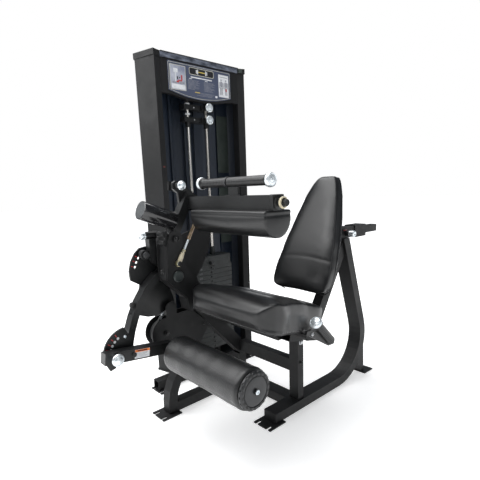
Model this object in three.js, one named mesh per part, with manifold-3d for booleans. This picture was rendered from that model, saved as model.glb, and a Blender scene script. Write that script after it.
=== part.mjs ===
// Leg extension and seated leg curl machine with a weight tower.
// Millimetres. +X to the user's left, +Y to the user's back, +Z up; the user faces -Y.
// Built about the front end of the seat side base tube, then moved so that the origin is on
// the floor below the middle of the machine.
import * as THREE from 'three';
import { mergeVertices } from 'three/addons/utils/BufferGeometryUtils.js';
import Module from 'manifold-3d';

const wasm = await Module();
wasm.setup();

// ---------- driving dimensions ----------
const ORIGIN = [-261.5, 116.54, 0];         // floor point below the middle of the bounding box
const GAP = 0.3;                         // clearance between touching pieces

// seat side frame, plane X = 0
const BASE_HW = 35;                      // half width of the base tube
const BASE_Z0 = 6;                       // top of the foot plates
const BASE_Z1 = 51;                      // top of the base tubes
const BEND_C = [478, 237];               // centre of the rear bend
const BEND_R = 208.5;                    // centreline radius of the rear bend
const LEAN = 18.8;                       // lean of the rear upright, degrees
const POST = { hw: 26, y0: 161, y1: 199, top: 339.7 };
const SLEEVE_Z = 788;                    // height of the backrest slide axis
const SEAT_SLOPE = 14.2;                 // seat tilt, degrees

// drive side frame
const FX0 = -414, FX1 = -363;            // drive frame tube faces
const P0 = [-256, 667];                  // main pivot, Y and Z
const P1 = [-257, 822];                  // thigh arm pivot
const NEAR = [-270, -262];               // near housing plate faces
const FAR = [-330, -322];                // far housing plate faces
const LEV = [-378, -334];                // lever tube faces
const CAM = [-394, -384];                // cam plate faces
const ARM = [-320, -280];                // ankle arm faces
const A = [-472, 384];                   // ankle arm pivot
const ARM_TILT = -7;                     // ankle arm slope, degrees
const THX = [-316, -276];                // thigh arm faces
const SECTOR_R = 133;                    // start position hole circle about P0
const LOW_R = 78;                        // ankle setting hole circle about A
const TH_R = 217;                        // thigh setting hole circle about P1
const PULLEY = [-275, 399];

// weight tower
const TX = -664;                         // guide rod plane
const TY = 186;                          // middle of the tower
const ROD_Y = [122, 240];
const SY = 183;                           // middle of the weight stack
const ROD_R = 9;
const TOWER_TOP = 1627;
const PLATE = 25.4;                      // weight plate pitch
const STACK_TOP = 655;
const LOWER_PLATES = 19;

// pads
const SEAT_HW = 224, SEAT_HW_REAR = 172;
const BACK_O = [186, 604];               // front lower edge of the back pad
const RECLINE = 24;
const ROLLER_R = 75, ROLLER_X = [-214, 232]; 

// ---------- materials ----------
const mat = (color, roughness, metalness) =>
  new THREE.MeshStandardMaterial({ color, roughness, metalness });
const FRAME = mat(0x26282a, 0.55, 0.4);
const VINYL = mat(0x0e0f11, 0.38, 0);
const CHROME = mat(0xd8dbde, 0.12, 1);
const STEEL = mat(0xa8acb0, 0.3, 1);
const IRON = mat(0x2b2f31, 0.6, 0.5);
const GLOSS = mat(0x0b0c0e, 0.15, 0.1);
const RUBBER = mat(0x121314, 0.75, 0);
const SLATE = mat(0x3f4a63, 0.4, 0);
const SHROUD = mat(0x2c3743, 0.5, 0.1);
const ZINC = mat(0xb9a569, 0.35, 0.8);
const BELT = mat(0x151617, 0.8, 0);
const BOARD = mat(0x141516, 0.7, 0);

// ---------- helpers ----------
const rad = (d) => d * Math.PI / 180;
const V3 = (x, y, z) => new THREE.Vector3(x, y, z);

// closed geometry -> solid, with merged vertices, no slivers and outward faces
function solid(g) {
  const c = g.clone();
  for (const k of Object.keys(c.attributes)) if (k !== 'position') c.deleteAttribute(k);
  const m = mergeVertices(c, 1e-4);
  const p = m.attributes.position.array, ix = m.index.array;
  let tri = [], vol = 0;
  for (let i = 0; i < ix.length; i += 3) {
    const [a, b, d] = [ix[i], ix[i + 1], ix[i + 2]];
    if (a === b || b === d || a === d) continue;
    tri.push(a, b, d);
    const q = (k) => V3(p[3 * k], p[3 * k + 1], p[3 * k + 2]);
    vol += q(a).dot(q(b).cross(q(d)));
  }
  if (vol < 0) for (let i = 0; i < tri.length; i += 3) [tri[i + 1], tri[i + 2]] = [tri[i + 2], tri[i + 1]];
  return new wasm.Manifold(new wasm.Mesh({
    numProp: 3, vertProperties: new Float32Array(p), triVerts: new Uint32Array(tri),
  }));
}
const join = (...s) => s.reduce((a, b) => a.add(b));
const cut = (s, ...t) => t.reduce((a, b) => a.subtract(b), s);

const FRAMES = {
  X: new THREE.Matrix4().makeBasis(V3(0, 1, 0), V3(0, 0, 1), V3(1, 0, 0)),   // outline (y,z)
  Y: new THREE.Matrix4().makeBasis(V3(1, 0, 0), V3(0, 0, 1), V3(0, -1, 0)),  // outline (x,z)
  Z: new THREE.Matrix4(),                                                    // outline (x,y)
};
// an outline extruded along an axis from a to b
function slab(axis, pts, a, b) {
  const s = new THREE.Shape(pts.map((p) => new THREE.Vector2(p[0], p[1])));
  const g = new THREE.ExtrudeGeometry(s, { depth: b - a, bevelEnabled: false });
  g.applyMatrix4(FRAMES[axis]);
  const t = axis === 'X' ? [a, 0, 0] : axis === 'Y' ? [0, b, 0] : [0, 0, a];
  g.translate(...t);
  return solid(g);
}
const box = (x0, x1, y0, y1, z0, z1) =>
  solid(new THREE.BoxGeometry(x1 - x0, y1 - y0, z1 - z0)
    .translate((x0 + x1) / 2, (y0 + y1) / 2, (z0 + z1) / 2));
// round bar between two points
function bar(p, q, r, n = 16, r2 = r) {
  const a = V3(...p), b = V3(...q), d = b.clone().sub(a);
  const g = new THREE.CylinderGeometry(r2, r, d.length(), n);
  g.applyQuaternion(new THREE.Quaternion().setFromUnitVectors(V3(0, 1, 0), d.clone().normalize()));
  const c = a.add(b).multiplyScalar(0.5);
  return solid(g.translate(c.x, c.y, c.z));
}
const barX = (y, z, x0, x1, r, n = 16) => bar([x0, y, z], [x1, y, z], r, n);
const barZ = (x, y, z0, z1, r, n = 16) => bar([x, y, z0], [x, y, z1], r, n);
// a lathe profile (radius, height) standing at p and pointing along d
function spin(prof, p, d, n = 20) {
  const g = new THREE.LatheGeometry(prof.map((q) => new THREE.Vector2(q[0], q[1])), n);
  g.applyQuaternion(new THREE.Quaternion().setFromUnitVectors(V3(0, 1, 0), V3(...d).normalize()));
  return solid(g.translate(...p));
}
const ring = (c, r, n = 24, a0 = 0, a1 = 360) => {
  const full = a1 - a0 === 360, out = [];
  for (let i = 0; i < (full ? n : n + 1); i++) {
    const a = rad(a0 + (a1 - a0) * i / n);
    out.push([c[0] + r * Math.cos(a), c[1] + r * Math.sin(a)]);
  }
  return out;
};
const polar = (c, r, deg) => [c[0] + r * Math.cos(rad(deg)), c[1] + r * Math.sin(rad(deg))];
// a polyline moved sideways by d, with mitred corners
function offset(line, d) {
  const n = line.length, out = [];
  const nor = (a, b) => {
    const l = Math.hypot(b[0] - a[0], b[1] - a[1]);
    return [-(b[1] - a[1]) / l, (b[0] - a[0]) / l];
  };
  for (let i = 0; i < n; i++) {
    const n1 = nor(line[Math.max(i - 1, 0)], line[Math.max(i, 1)]);
    const n2 = nor(line[Math.min(i, n - 2)], line[Math.min(i + 1, n - 1)]);
    const m = [n1[0] + n2[0], n1[1] + n2[1]], k = 2 * d / (m[0] * m[0] + m[1] * m[1]);
    out.push([line[i][0] + m[0] * k, line[i][1] + m[1] * k]);
  }
  return out;
}
function extend(line, a, b) {
  const l = line.map((p) => [...p]), n = l.length;
  const grow = (p, q, e) => {
    const k = e / Math.hypot(p[0] - q[0], p[1] - q[1]);
    return [p[0] + (p[0] - q[0]) * k, p[1] + (p[1] - q[1]) * k];
  };
  const s = grow(l[0], l[1], a), t = grow(l[n - 1], l[n - 2], b);
  l[0] = s; l[n - 1] = t;
  return l;
}
const strip = (line, h) => [...offset(line, -h), ...offset(line, h).reverse()];
// a flat member following a line in the YZ plane; h is half its depth
const band = (line, h, x0, x1) => slab('X', strip(line, h), x0, x1);
// the same as a rectangular tube; open ends are given as lengths to clear past each end
function tube(line, h, x0, x1, t = 2.5, open = [2, 2]) {
  const inner = extend(line, open[0], open[1]);
  return cut(band(line, h, x0, x1), band(inner, h - t, x0 + t, x1 - t));
}
function tubeX(x0, x1, y0, y1, z0, z1, t = 2.5) {
  return cut(box(x0, x1, y0, y1, z0, z1), box(x0 - 2, x1 + 2, y0 + t, y1 - t, z0 + t, z1 - t));
}
function tubeY(x0, x1, y0, y1, z0, z1, t = 2.5, open = [2, 2]) {
  return cut(box(x0, x1, y0, y1, z0, z1),
    box(x0 + t, x1 - t, y0 - open[0], y1 + open[1], z0 + t, z1 - t));
}
// a sheet of thickness t following a plan line, standing between two heights
const sheetZ = (line, t, z0, z1) => slab('Z', [...line, ...offset(line, t).reverse()], z0, z1);
// foot plate with two open slots at its front or rear edge
function foot(xc, y0, y1, hw, slotEdge) {
  let s = box(xc - hw, xc + hw, y0, y1, 0, BASE_Z0);
  for (const k of [-0.62, 0.62]) {
    const x = xc + k * hw, e = slotEdge > 0 ? [y1 - 28, y1 + 5] : [y0 - 5, y0 + 28];
    s = cut(s, box(x - 6, x + 6, e[0], e[1], -1, 9));
  }
  return s;
}

const root = new THREE.Group();
root.position.set(-ORIGIN[0], -ORIGIN[1], -ORIGIN[2]);
function node(name, s, material) {
  const m = s.getMesh(), g = new THREE.BufferGeometry(), n = m.numProp, v = [];
  for (let i = 0; i < m.vertProperties.length; i += n) {
    v.push(m.vertProperties[i], m.vertProperties[i + 1], m.vertProperties[i + 2]);
  }
  g.setAttribute('position', new THREE.Float32BufferAttribute(v, 3));
  g.setIndex(Array.from(m.triVerts));
  g.computeVertexNormals();
  const mesh = new THREE.Mesh(g, material);
  mesh.name = name;
  root.add(mesh);
}

// ---------- seat side frame ----------
const SLEEVE_H = 26, COLLAR_H = 30;
function seatBase() {
  const arc = ring(BEND_C, BEND_R, 12, -90, LEAN);
  const d = [-Math.sin(rad(LEAN)), Math.cos(rad(LEAN))], e = arc[arc.length - 1];
  const line = [[0, 28.5], ...arc, [e[0] + d[0] * 520, e[1] + d[1] * 520]];
  const t = cut(tube(line, 22.5, -BASE_HW, BASE_HW, 2.5, [-2.5, 5]),
    box(-60, 60, 300, 800, SLEEVE_Z - SLEEVE_H - GAP, 900));
  const heel = slab('X', [[650, 82], [700, 190], [708, 190], [718, 4], [702, 4]], -28, 28);
  const plate = cut(box(-50, 50, 697, 776, 0, BASE_Z0), box(-31, -19, 746, 780, -1, 9));
  return join(t, foot(0, -52, 48, 50, -1), heel, plate);
}
const seatPost = () => cut(box(-POST.hw, POST.hw, POST.y0, POST.y1, BASE_Z1 + GAP, POST.top),
  box(-POST.hw + 2.5, POST.hw - 2.5, POST.y0 + 2.5, POST.y1 - 2.5, 40, 360));

// seat beam: short inclined channel tube on the post, parallel to the seat
const slope = Math.tan(rad(SEAT_SLOPE));
const seatUnder = (y) => 503 - slope * (y + 120);          // underside of the seat pad
const beamLine = [[96, seatUnder(96) - 72], [322, seatUnder(322) - 72]];
const seatBeam = () => cut(tube(beamLine, 18, -38, 38, 3), box(-60, 60, 150, 210, 300, POST.top + GAP));
function seatBracket(y) {                                  // cross piece between beam and seat board
  const top = (d) => seatUnder(y + d) - 12 - GAP, bot = (d) => seatUnder(y + d) - 72 + 18.6 + GAP;
  return slab('X', [[y - 20, bot(-20)], [y + 20, bot(20)], [y + 20, top(20)], [y - 20, top(-20)]], -120, 120);
}
function backStrut() {
  const k = Math.tan(rad(32.3)), f = (z) => 358 + (z - 472) * k;   // centreline Y at a height
  const line = [[f(372), 372], [f(790), 790]];
  return cut(tube(line, 24, -24, 24), box(-60, 60, 300, 800, SLEEVE_Z - SLEEVE_H - GAP, 900),
    box(-60, 60, 250, 420, 300, 390),
    slab('X', [[653.6, 296.9], [900, 296.9], [900, 860], [461.8, 860]], -60, 60));
}
function backSleeve() {
  const bore = box(-19.5, 19.5, 400, 760, SLEEVE_Z - 19.5, SLEEVE_Z + 19.5);
  return cut(join(
    box(-26, 26, 450, 602, SLEEVE_Z - SLEEVE_H, SLEEVE_Z + SLEEVE_H),
    box(-30, 30, 600, 698, SLEEVE_Z - COLLAR_H, SLEEVE_Z + COLLAR_H),
    barX(526, 785, 20, 45, 13, 16)), bore, barX(526, 785, 0, 50, 5.6, 16));
}
const seatRail = () => tubeX(FX1 + GAP, -38 - GAP, 102, 140, 341, 375);
const raisedCross = () => tubeX(FX1 + GAP, -POST.hw - GAP, 161, 199, 182, 240);
const groundCross = () => tubeX(FX1 + GAP, -BASE_HW - GAP, 140, 208, 8, BASE_Z1);
const groundCrossTower = () => tubeX(-590 + GAP, FX0 - GAP, 140, 208, 8, BASE_Z1);

// ---------- drive side frame ----------
const diagLine = [[-140, 543], [320, 39.5]];
const diag = () => cut(tube(diagLine, 30, FX0, FX1), box(-500, -300, 0, 500, 0, 168), box(-500, -300, 205, 500, 0, 400));
const diagKeepout = () => band(extend(diagLine, 1, 0), 30 + GAP, FX0 - 5, FX1 + 5);
const legLine = [[-262, BASE_Z0], [-262, 60], [-254, 105], [-236, 145], [-213, 180], [-113, 312], [-30, 424]];
function driveBase() {
  const leg = cut(tube(legLine, 22.5, FX0, FX1, 2.5, [0, 5]), diagKeepout());
  const base = tubeY(FX0, FX1, -241, 214, BASE_Z0, BASE_Z1, 2.5, [-2, 2]);
  return join(leg, base, foot((FX0 + FX1) / 2, -333, -233, 49, -1), foot((FX0 + FX1) / 2, 128, 226, 49, 1));
}
const sideLine = [[20, 383.5], [158, 349]];
const sideRail = () => cut(tube(sideLine, 17, FX0, FX1), diagKeepout());
const midPost = () => cut(box(FX0, FX1, 150, 200, BASE_Z1 + GAP, 168 - GAP),
  box(FX0 + 2.5, FX1 - 2.5, 152.5, 197.5, 20, 400));
const frameSpacer = () => box(FX1 + GAP, FAR[0] - GAP, -150, -96, 500, 556);

// guard plates on both faces of the drive frame carry the lower pulley
function guard(x0, x1, lug) {
  const round = ring(PULLEY, 70, 14, 62, 232);
  const body = [...round, [-247, 345], [-160, 250], [-95, 299], [-52, 398], [-134, 477], [-216, 475]];
  let s = slab('X', body, x0, x1);
  if (lug) {
    s = join(s, slab('X', [[-268, 455], [-214, 455], [-214, 515], [-222, 530], [-240, 536],
      [-258, 532], [-268, 520]], x0, x1));
  }
  return s;
}
const pulleyGuard = () => join(guard(FX1 + GAP, FX1 + 5, true), barX(...PULLEY, -403, FX1 + 2, 9, 20),
  barX(...PULLEY, FX1 + 3, FX1 + 11, 11, 12));
const pulleyGuardFar = () => cut(guard(FX0 - 5, FX0 - GAP, false), barX(...PULLEY, -430, -400, 9.6, 20));
const drivePulley = () => cut(spin([[0, 0], [55, 0], [55, 5], [51, 8], [51, 22], [55, 25], [55, 30], [0, 30]],
  [-404, ...PULLEY], [1, 0, 0], 36), barX(...PULLEY, -410, -370, 9.8, 20));
function driveBelt() {
  const wrap = ring(PULLEY, 53.6, 12, 118, 270);
  const line = [[-266, 486], ...wrap, [-170, PULLEY[1] - 53.6]];
  return band(line, 1.5, -395, -383);
}

// ---------- pivot housing ----------
const nearOutline = [...ring(P1, 34, 10, 10, 160), [-299, 790], [-305, 693], [-308, 660], [-278, 624],
  [-217, 567], [-205, 505], [-150, 505], [-96, 556], [-130, 601], [-165, 635], [-201, 684], [-215, 704]];
const stripLine = [[-296, 846], [-296, 790], [-302, 693], [-306, 661], [-277, 627], [-214, 566], [-202, 507]];
function housingNear() {
  const plate = slab('X', nearOutline, ...NEAR);
  const closing = band(stripLine, 4, FAR[1] + GAP, NEAR[0] + 1);
  const cap = spin([[0, 0], [23, 0], [23, 5], [19, 9], [0, 9]], [NEAR[1], ...P0], [1, 0, 0], 18);
  const ball = join(barX(...STRUT0, NEAR[1] - 2, -246, 7, 16),
    spin([[0, 0], [9, 0], [11, 4], [8, 8], [0, 9]], [-247, ...STRUT0], [1, 0, 0], 16));
  return cut(join(plate, closing, cap, ball), barX(...P0, NEAR[0] - 5, NEAR[1] - 2, 15.8, 28),
    barX(...P1, NEAR[0] - 5, NEAR[1] + 5, 8.6, 20));
}
const farOutline = [[-308, 660], [-310, 757], [-305, 800], ...ring(P1, 30, 6, 165, 60), [-225, 838],
  [-190, 828], [-118, 850], [-110, 900], ...ring(P1, 195, 10, 42, 84), ...ring(P1, 232, 12, 84, 30),
  [-38, 880], [-33, 816], [-42, 753], [-86, 676], [-120, 635], [-96, 556], [-96, 505], [-205, 505],
  [-217, 567], [-278, 624]];
function housingFar() {
  let s = slab('X', farOutline, ...FAR);
  s = cut(s, barX(...P0, FAR[0] - 5, FAR[1] + 5, 16, 28), barX(...P1, FAR[0] - 5, FAR[1] + 5, 8.6, 20));
  for (const a of [77, 67, 57, 47]) s = cut(s, barX(...polar(P1, TH_R, a), FAR[0] - 5, FAR[1] + 5, 5.6, 8));
  return s;
}

// ---------- cam, lever, ankle arm and roller ----------
function cam() {
  const out = [[100, 46], [116, 60], [120, 142], [130, 155], [141, 158], [155, 158], [170, 156], [184, 152],
    [198, 117], [212, 140], [226, 198], [234, 207], [245, 201], [255, 192], [265, 178], [278, 164],
    [290, 150], [294, 60], [306, 46], [330, 46], [0, 46], [30, 46], [60, 46]].map((q) => polar(P0, q[1], q[0]));
  let s = slab('X', out, ...CAM);
  s = join(s, barX(...P0, CAM[0] - 8, NEAR[1] - 4, 15, 28), barX(...P0, CAM[1] - 1, LEV[0] - 1, 24, 28));
  for (let i = 0; i < 4; i++) {
    s = cut(s, barX(...polar(P0, SECTOR_R, 135.5 + 8.6 * i), CAM[0] - 5, CAM[1] + 5, 6.5, 8));
  }
  return s;
}
const armPts = [[-268, 676], [-312, 663], [-361, 617], [-398, 565], [-425, 513], [-445, 461], [-456, 423], [-464, 384]];
function lever() {
  const hub = barX(...P0, ...LEV, 38, 24);
  const arm = band(armPts, 15, ...LEV);
  const hollow = band(extend(armPts.slice(1), -16, -26), 12, LEV[0] + 3, LEV[1] - 3);
  const foot2 = barX(...A, ...LEV, 23, 24);
  const rom = join(band([[-262, 700], [-300, 728], [-318, 752], [-318, 826]], 16, -372, -340),
    barX(...polar(P0, SECTOR_R, 135.5), -372, -348, 20, 20));
  const grip = bar([-356, -364, 838], [-356, -288, 838], 15, 20);
  const low = slab('X', [...ring(A, 105, 12, 96, 187), [-554, 326], [-535, 331], [A[0] - 30, A[1] - 26], [A[0] + 10, A[1] - 22],
    [A[0] + 20, A[1]], [A[0] + 14, A[1] + 60]], LEV[1] - 1, -325);
  let s = cut(join(hub, arm, foot2, rom, grip, low), hollow, bar([-356, -450, 520], [-356, -380, 552], 4, 10));
  s = cut(s, barX(...P0, LEV[0] - 5, LEV[1] + 5, 15.8, 28), barX(...A, LEV[0] - 5, -320, 10.6, 24));
  for (const a of [121, 134, 147, 160, 173]) s = cut(s, barX(...polar(A, LOW_R, a), LEV[0] - 5, -320, 6, 8));
  return cut(s, barX(...polar(P0, SECTOR_R, 135.5), LEV[0] - 5, LEV[1] + 5, 5.6, 16));
}
function romPin() {
  const p = polar(P0, SECTOR_R, 135.5);
  return join(barX(...p, CAM[1] + GAP, -340, 5, 16), spin([[0, 0], [13, 0], [14, 3], [14, 12], [10, 16], [0, 16.2]],
    [-347.7, ...p], [1, 0, 0], 18));
}
const armDir = [Math.cos(rad(ARM_TILT)), Math.sin(rad(ARM_TILT))];
const onArm = (u, v = 0) => [A[0] + armDir[0] * u - armDir[1] * v, A[1] + armDir[1] * u + armDir[0] * v];
const AXLE = onArm(161, -2);
function ankleArm() {
  const body = tube([onArm(-118), onArm(178)], 23, ...ARM, 2.5, [-2.5, 3]);
  const pivot = barX(...A, LEV[0] - 4, ARM[1] + 4, 10, 24);
  const boss = spin([[0, 0], [14, 0], [14, 26], [10, 30], [0, 30]], [ARM[0] + 12, ...onArm(-LOW_R)], [1, 0, 0], 20);
  const axle = join(barX(...AXLE, ARM[0] - 2, 245, 12, 20), barX(...AXLE, ARM[1] - 2, -220, 19, 20),
    barX(...AXLE, 244, 251, 9, 6));
  return cut(join(body, pivot, boss, axle), barX(...onArm(-LOW_R), ARM[0] - 5, ARM[1] + 30, 5.6, 16));
}
const anklePin = () => join(barX(...onArm(-LOW_R), -325 + GAP, -276, 5, 16),
  spin([[0, 0], [8, 0], [11, 8], [22, 13], [24, 22], [21, 31], [12, 37], [0, 38]],
    [-277.4, ...onArm(-LOW_R)], [1, 0, 0], 28));
const rollerFoam = () => spin([[13, 0], [56, 0], [68, 5], [75, 18], [75, 428], [71, 439], [64, 445.7],
  [13, 445.7], [13, 0]], [ROLLER_X[0], ...AXLE], [1, 0, 0], 32);
function rollerCap() {
  let s = spin([[12.6, 0], [68, 0], [68, 7], [61, 12], [54, 12], [52, 9], [14, 9], [12.6, 9], [12.6, 0]],
    [ROLLER_X[1], ...AXLE], [1, 0, 0], 28);
  for (let i = 0; i < 18; i++) s = cut(s, barX(...polar(AXLE, 70, 20 * i), 235, 250, 6, 6));
  return s;
}

// ---------- thigh hold-down ----------
const thDir = [0.486, 0.874];
const onTh = (s, t = 0) => [P1[0] + thDir[0] * s - thDir[1] * t, P1[1] + thDir[1] * s + thDir[0] * t];
const BEAM = { y0: -175, y1: -125, z0: 938, z1: 988 };
const PINT = polar(P1, TH_R, 77);
const STRUT0 = [-255, 721], STRUT1 = [-142, 915];
function thighArm() {
  const arm = tube([onTh(0), onTh(205)], 19, ...THX, 3, [-6, -3]);
  const eye = barX(...P1, ...THX, 26, 20);
  const pin = join(barX(...P1, FAR[0] - 8, NEAR[1] + 4, 8, 20), barX(...P1, NEAR[1] + 1, NEAR[1] + 9, 12, 6));
  const head = slab('X', [[-196, 930], [-122, 930], [-122, 992], [-150, 1012], [-190, 1050], [-214, 1054],
    [-228, 1044], [-228, 1022], [-205, 1004]], THX[0], THX[0] + 14);
  const side = slab('X', [[-196, 930], [-122, 930], [-122, 992], [-160, 992]], THX[0], THX[1]);
  const boss = barX(...PINT, THX[0], -284, 13, 20);
  const beam = cut(box(THX[1] - 3, 190, BEAM.y0, BEAM.y1, BEAM.z0, BEAM.z1),
    box(THX[1], 187, BEAM.y0 + 3, BEAM.y1 - 3, BEAM.z0 + 3, BEAM.z1 - 3));
  const end = spin([[0, 0], [24, 0], [24, 20], [14, 24], [14, 34], [19, 36], [19, 42], [11, 44], [11, 56], [0, 56]],
    [189, -150, 963], [1, 0, 0], 24);
  const post = join(box(-22, 30, -171, -161, 986, 1019.8), box(-36, 44, -174, -152, 986, 992));
  const lug = join(box(-272, -262, -156, -128, 915, 940), barX(...STRUT1, -272, -262, 15, 16),
    barX(...STRUT1, -263, -248, 4, 10));
  return cut(join(arm, eye, pin, head, side, boss, beam, end, post, lug),
    barX(...PINT, THX[0] - 5, -270, 5.6, 16), barZ(120, -150, 930, 950, 4, 12), bar([-296, -260, 905], [-296, -200, 870], 4, 10));
}
const thighPin = () => join(barX(...PINT, FAR[1] + GAP, -279, 5, 16),
  spin([[0, 0], [7, 0], [9, 5], [17, 10], [19, 18], [17, 27], [9, 32], [0, 33]], [-283.7, ...PINT], [1, 0, 0], 28));
function counterweight() {
  const a = rad(20), d = [0, -Math.cos(a), Math.sin(a)], s = [-296, -236, 890];
  const g = spin([[0, 0], [36, 0], [37.5, 2], [37.5, 158], [36, 160], [0, 160]],
    s, d, 36);
  return cut(g, band([onTh(-60), onTh(260)], 19 + GAP, -345, -240), slab('X', [onTh(-60), onTh(260),
    [onTh(260)[0] + 200, onTh(260)[1]], [onTh(-60)[0] + 200, onTh(-60)[1]]], -345, -240));
}
function thighPad() {
  const y0 = -213, y1 = -87, z1 = 937.7, z0 = 845;
  const prof = [[y0 + 6, z1], [y0, z1 - 8], [y0, z1 - 34], [y0 + 7, z1 - 58], [y0 + 26, z0 + 10], [y0 + 50, z0],
    [y1 - 50, z0], [y1 - 26, z0 + 10], [y1 - 7, z1 - 58], [y1, z1 - 34], [y1, z1 - 8], [y1 - 6, z1]];
  return slab('X', prof, -208, 208);
}
const handlebar = () => spin([[0, 0], [12, 0], [20, 5], [23, 13], [22, 20], [18, 25], [16.5, 27], [16.5, 365],
  [18, 367], [22, 372], [23, 379], [20, 387], [12, 392], [0, 392]], [-196, -166, 1037], [1, 0, 0], 18);
const strutDir = (() => {
  const d = [STRUT1[0] - STRUT0[0], STRUT1[1] - STRUT0[1]], l = Math.hypot(...d);
  return { l, d: [d[0] / l, d[1] / l] };
})();
const onStrut = (s) => [-254.5, STRUT0[0] + strutDir.d[0] * s, STRUT0[1] + strutDir.d[1] * s];
function strutRod() {
  const eye = barX(...STRUT0, -261, -250, 13, 20);
  return cut(join(eye, bar(onStrut(8), onStrut(50), 7, 16), bar(onStrut(46), onStrut(160), 4, 12)),
    barX(...STRUT0, -263, -238, 7.6, 16));
}
function strutBody() {
  const L = strutDir.l, eye = barX(...STRUT1, -261, -250, 14, 20);
  const sleeve = cut(bar(onStrut(110), onStrut(L - 8), 7, 16), bar(onStrut(100), onStrut(L - 20), 4.6, 12));
  return cut(join(sleeve, eye), barX(...STRUT1, -263, -238, 9.5, 16));
}

// ---------- backrest ----------
const bw = [Math.sin(rad(RECLINE)), Math.cos(rad(RECLINE))];
const bn = [Math.cos(rad(RECLINE)), -Math.sin(rad(RECLINE))];
const onBack = (w, n) => [BACK_O[0] + bw[0] * w + bn[0] * n, BACK_O[1] + bw[1] * w + bn[1] * n];
function backOutline(k) {                                  // front view outline as (x, height)
  const z = (w) => BACK_O[1] + bw[1] * w;
  const r = [[98, -34], [126, -28], [144, -10], [150, 20], [150, 70], [136, 190], [112, 300], [84, 400], [64, 452],
    [46, 482], [24, 498]];
  const right = r.map((p) => [p[0] - k, z(p[1]) + (p[1] < 100 ? k : -k)]);
  return [...right, ...right.map((p) => [-p[0], p[1]]).reverse()];
}
function backPad() {
  const side = [onBack(-26, 10), onBack(-34, 28), onBack(-30, 54), onBack(500, 50), onBack(503, 30), onBack(496, 12),
    onBack(476, 4), onBack(400, 0), onBack(30, 0), onBack(-8, 2)];
  return slab('X', side, -155, 155).intersect(slab('Y', backOutline(0), 100, 500));
}
function backBoard() {
  const side = [onBack(-24, 54 + GAP), onBack(-24, 66), onBack(496, 62), onBack(496, 50 + GAP)];
  return slab('X', side, -155, 155).intersect(slab('Y', backOutline(6), 100, 560));
}
function backSlide() {
  const keep = slab('X', [onBack(-60, 70), onBack(600, 70), onBack(600, -100), onBack(-60, -100)], -80, 80);
  const t = cut(box(-18, 18, 300, 825, SLEEVE_Z - 18, SLEEVE_Z + 18),
    box(-15.5, 15.5, 370, 830, SLEEVE_Z - 15.5, SLEEVE_Z + 15.5), keep);
  const plate = slab('X', [onBack(130, 66.5 + GAP), onBack(330, 65 + GAP), onBack(330, 74), onBack(130, 74)], -50, 50);
  const web = box(-4, 4, 330, 370, 752, 828);
  let s = join(t, plate, cut(web, keep));
  for (let i = -4; i <= 4; i++) s = cut(s, barX(526 + 25 * i, 785, 10, 30, 5.6, 8));
  return s;
}
const backPin = () => join(barX(526, 785, 18 + GAP, 50, 5, 16),
  spin([[0, 0], [9, 0], [14, 3], [15, 8], [15, 26], [12, 30], [0, 31]], [45.3, 526, 785], [1, 0, 0], 18));

// ---------- seat ----------
function seatPlan(k) {
  const half = [[150, -241], [186, -235], [210, -217], [SEAT_HW, -188], [SEAT_HW, -150], [208, -95],
    [SEAT_HW_REAR + 10, 40], [SEAT_HW_REAR, 120], [158, 160], [128, 182], [100, 188]];
  const h = half.map((p) => [p[0] - k, p[1] + (p[1] < 0 ? k * (p[1] < -200 ? 1 : 0) : -k * (p[1] > 150 ? 1 : 0))]);
  return [...h, ...h.map((p) => [-p[0], p[1]]).reverse()];
}
function seatPad() {
  const side = [[-226, 536], [-238, 552], [-241, 580], [-235, 603], [-219, 621], [-195, 631], [-165, 631], [-130, 622],
    [-60, 605], [0, 589], [82, 557], [150, 529], [174, 514], [186, 495], [187, 442], [180, 430],
    [178, seatUnder(178)], [-210, seatUnder(-210)]];
  return slab('X', side, -SEAT_HW - 5, SEAT_HW + 5).intersect(slab('Z', seatPlan(0), 380, 700));
}
function seatBoard() {
  const l = [[-205, seatUnder(-205) - 6 - GAP], [172, seatUnder(172) - 6 - GAP]];
  return band(l, 5.6, -SEAT_HW - 5, SEAT_HW + 5).intersect(slab('Z', seatPlan(14), 380, 700));
}
function seatHandle(s) {
  const x0 = 204, x1 = 214, m = (a, b) => (s > 0 ? [a, b] : [-b, -a]);
  const strap = slab('X', [[-14, 486 - 22], [10, 452], [128, 380], [150, 380], [154, 398], [140, 408], [20, 476],
    [-10, 486 - 9]], ...m(x0, x1));
  const tabTop = seatUnder(-2) - 12 - 2 * GAP;
  const tab = slab('X', [[-14, tabTop - 4 + 3], [10, tabTop - 4 - 3], [10, tabTop - 3.4], [-14, tabTop + 2.6]], ...m(120, x1));
  const gx = s * 218, d = [0, -0.7, 0.714], b = [gx, 143, 394];
  const at = (t) => [b[0], b[1] + d[1] * t, b[2] + d[2] * t];
  const core = join(bar([s * 206, 141, 394], [gx, 141, 394], 9, 16), bar(at(-4), at(40), 9, 16));
  const grip = spin([[0, 10], [16, 10], [17, 14], [17, 131], [18, 133], [23, 137], [24, 145], [21, 154], [12, 159],
    [0, 160]], b, d, 20);
  return join(strap, tab, core, grip);
}

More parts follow.
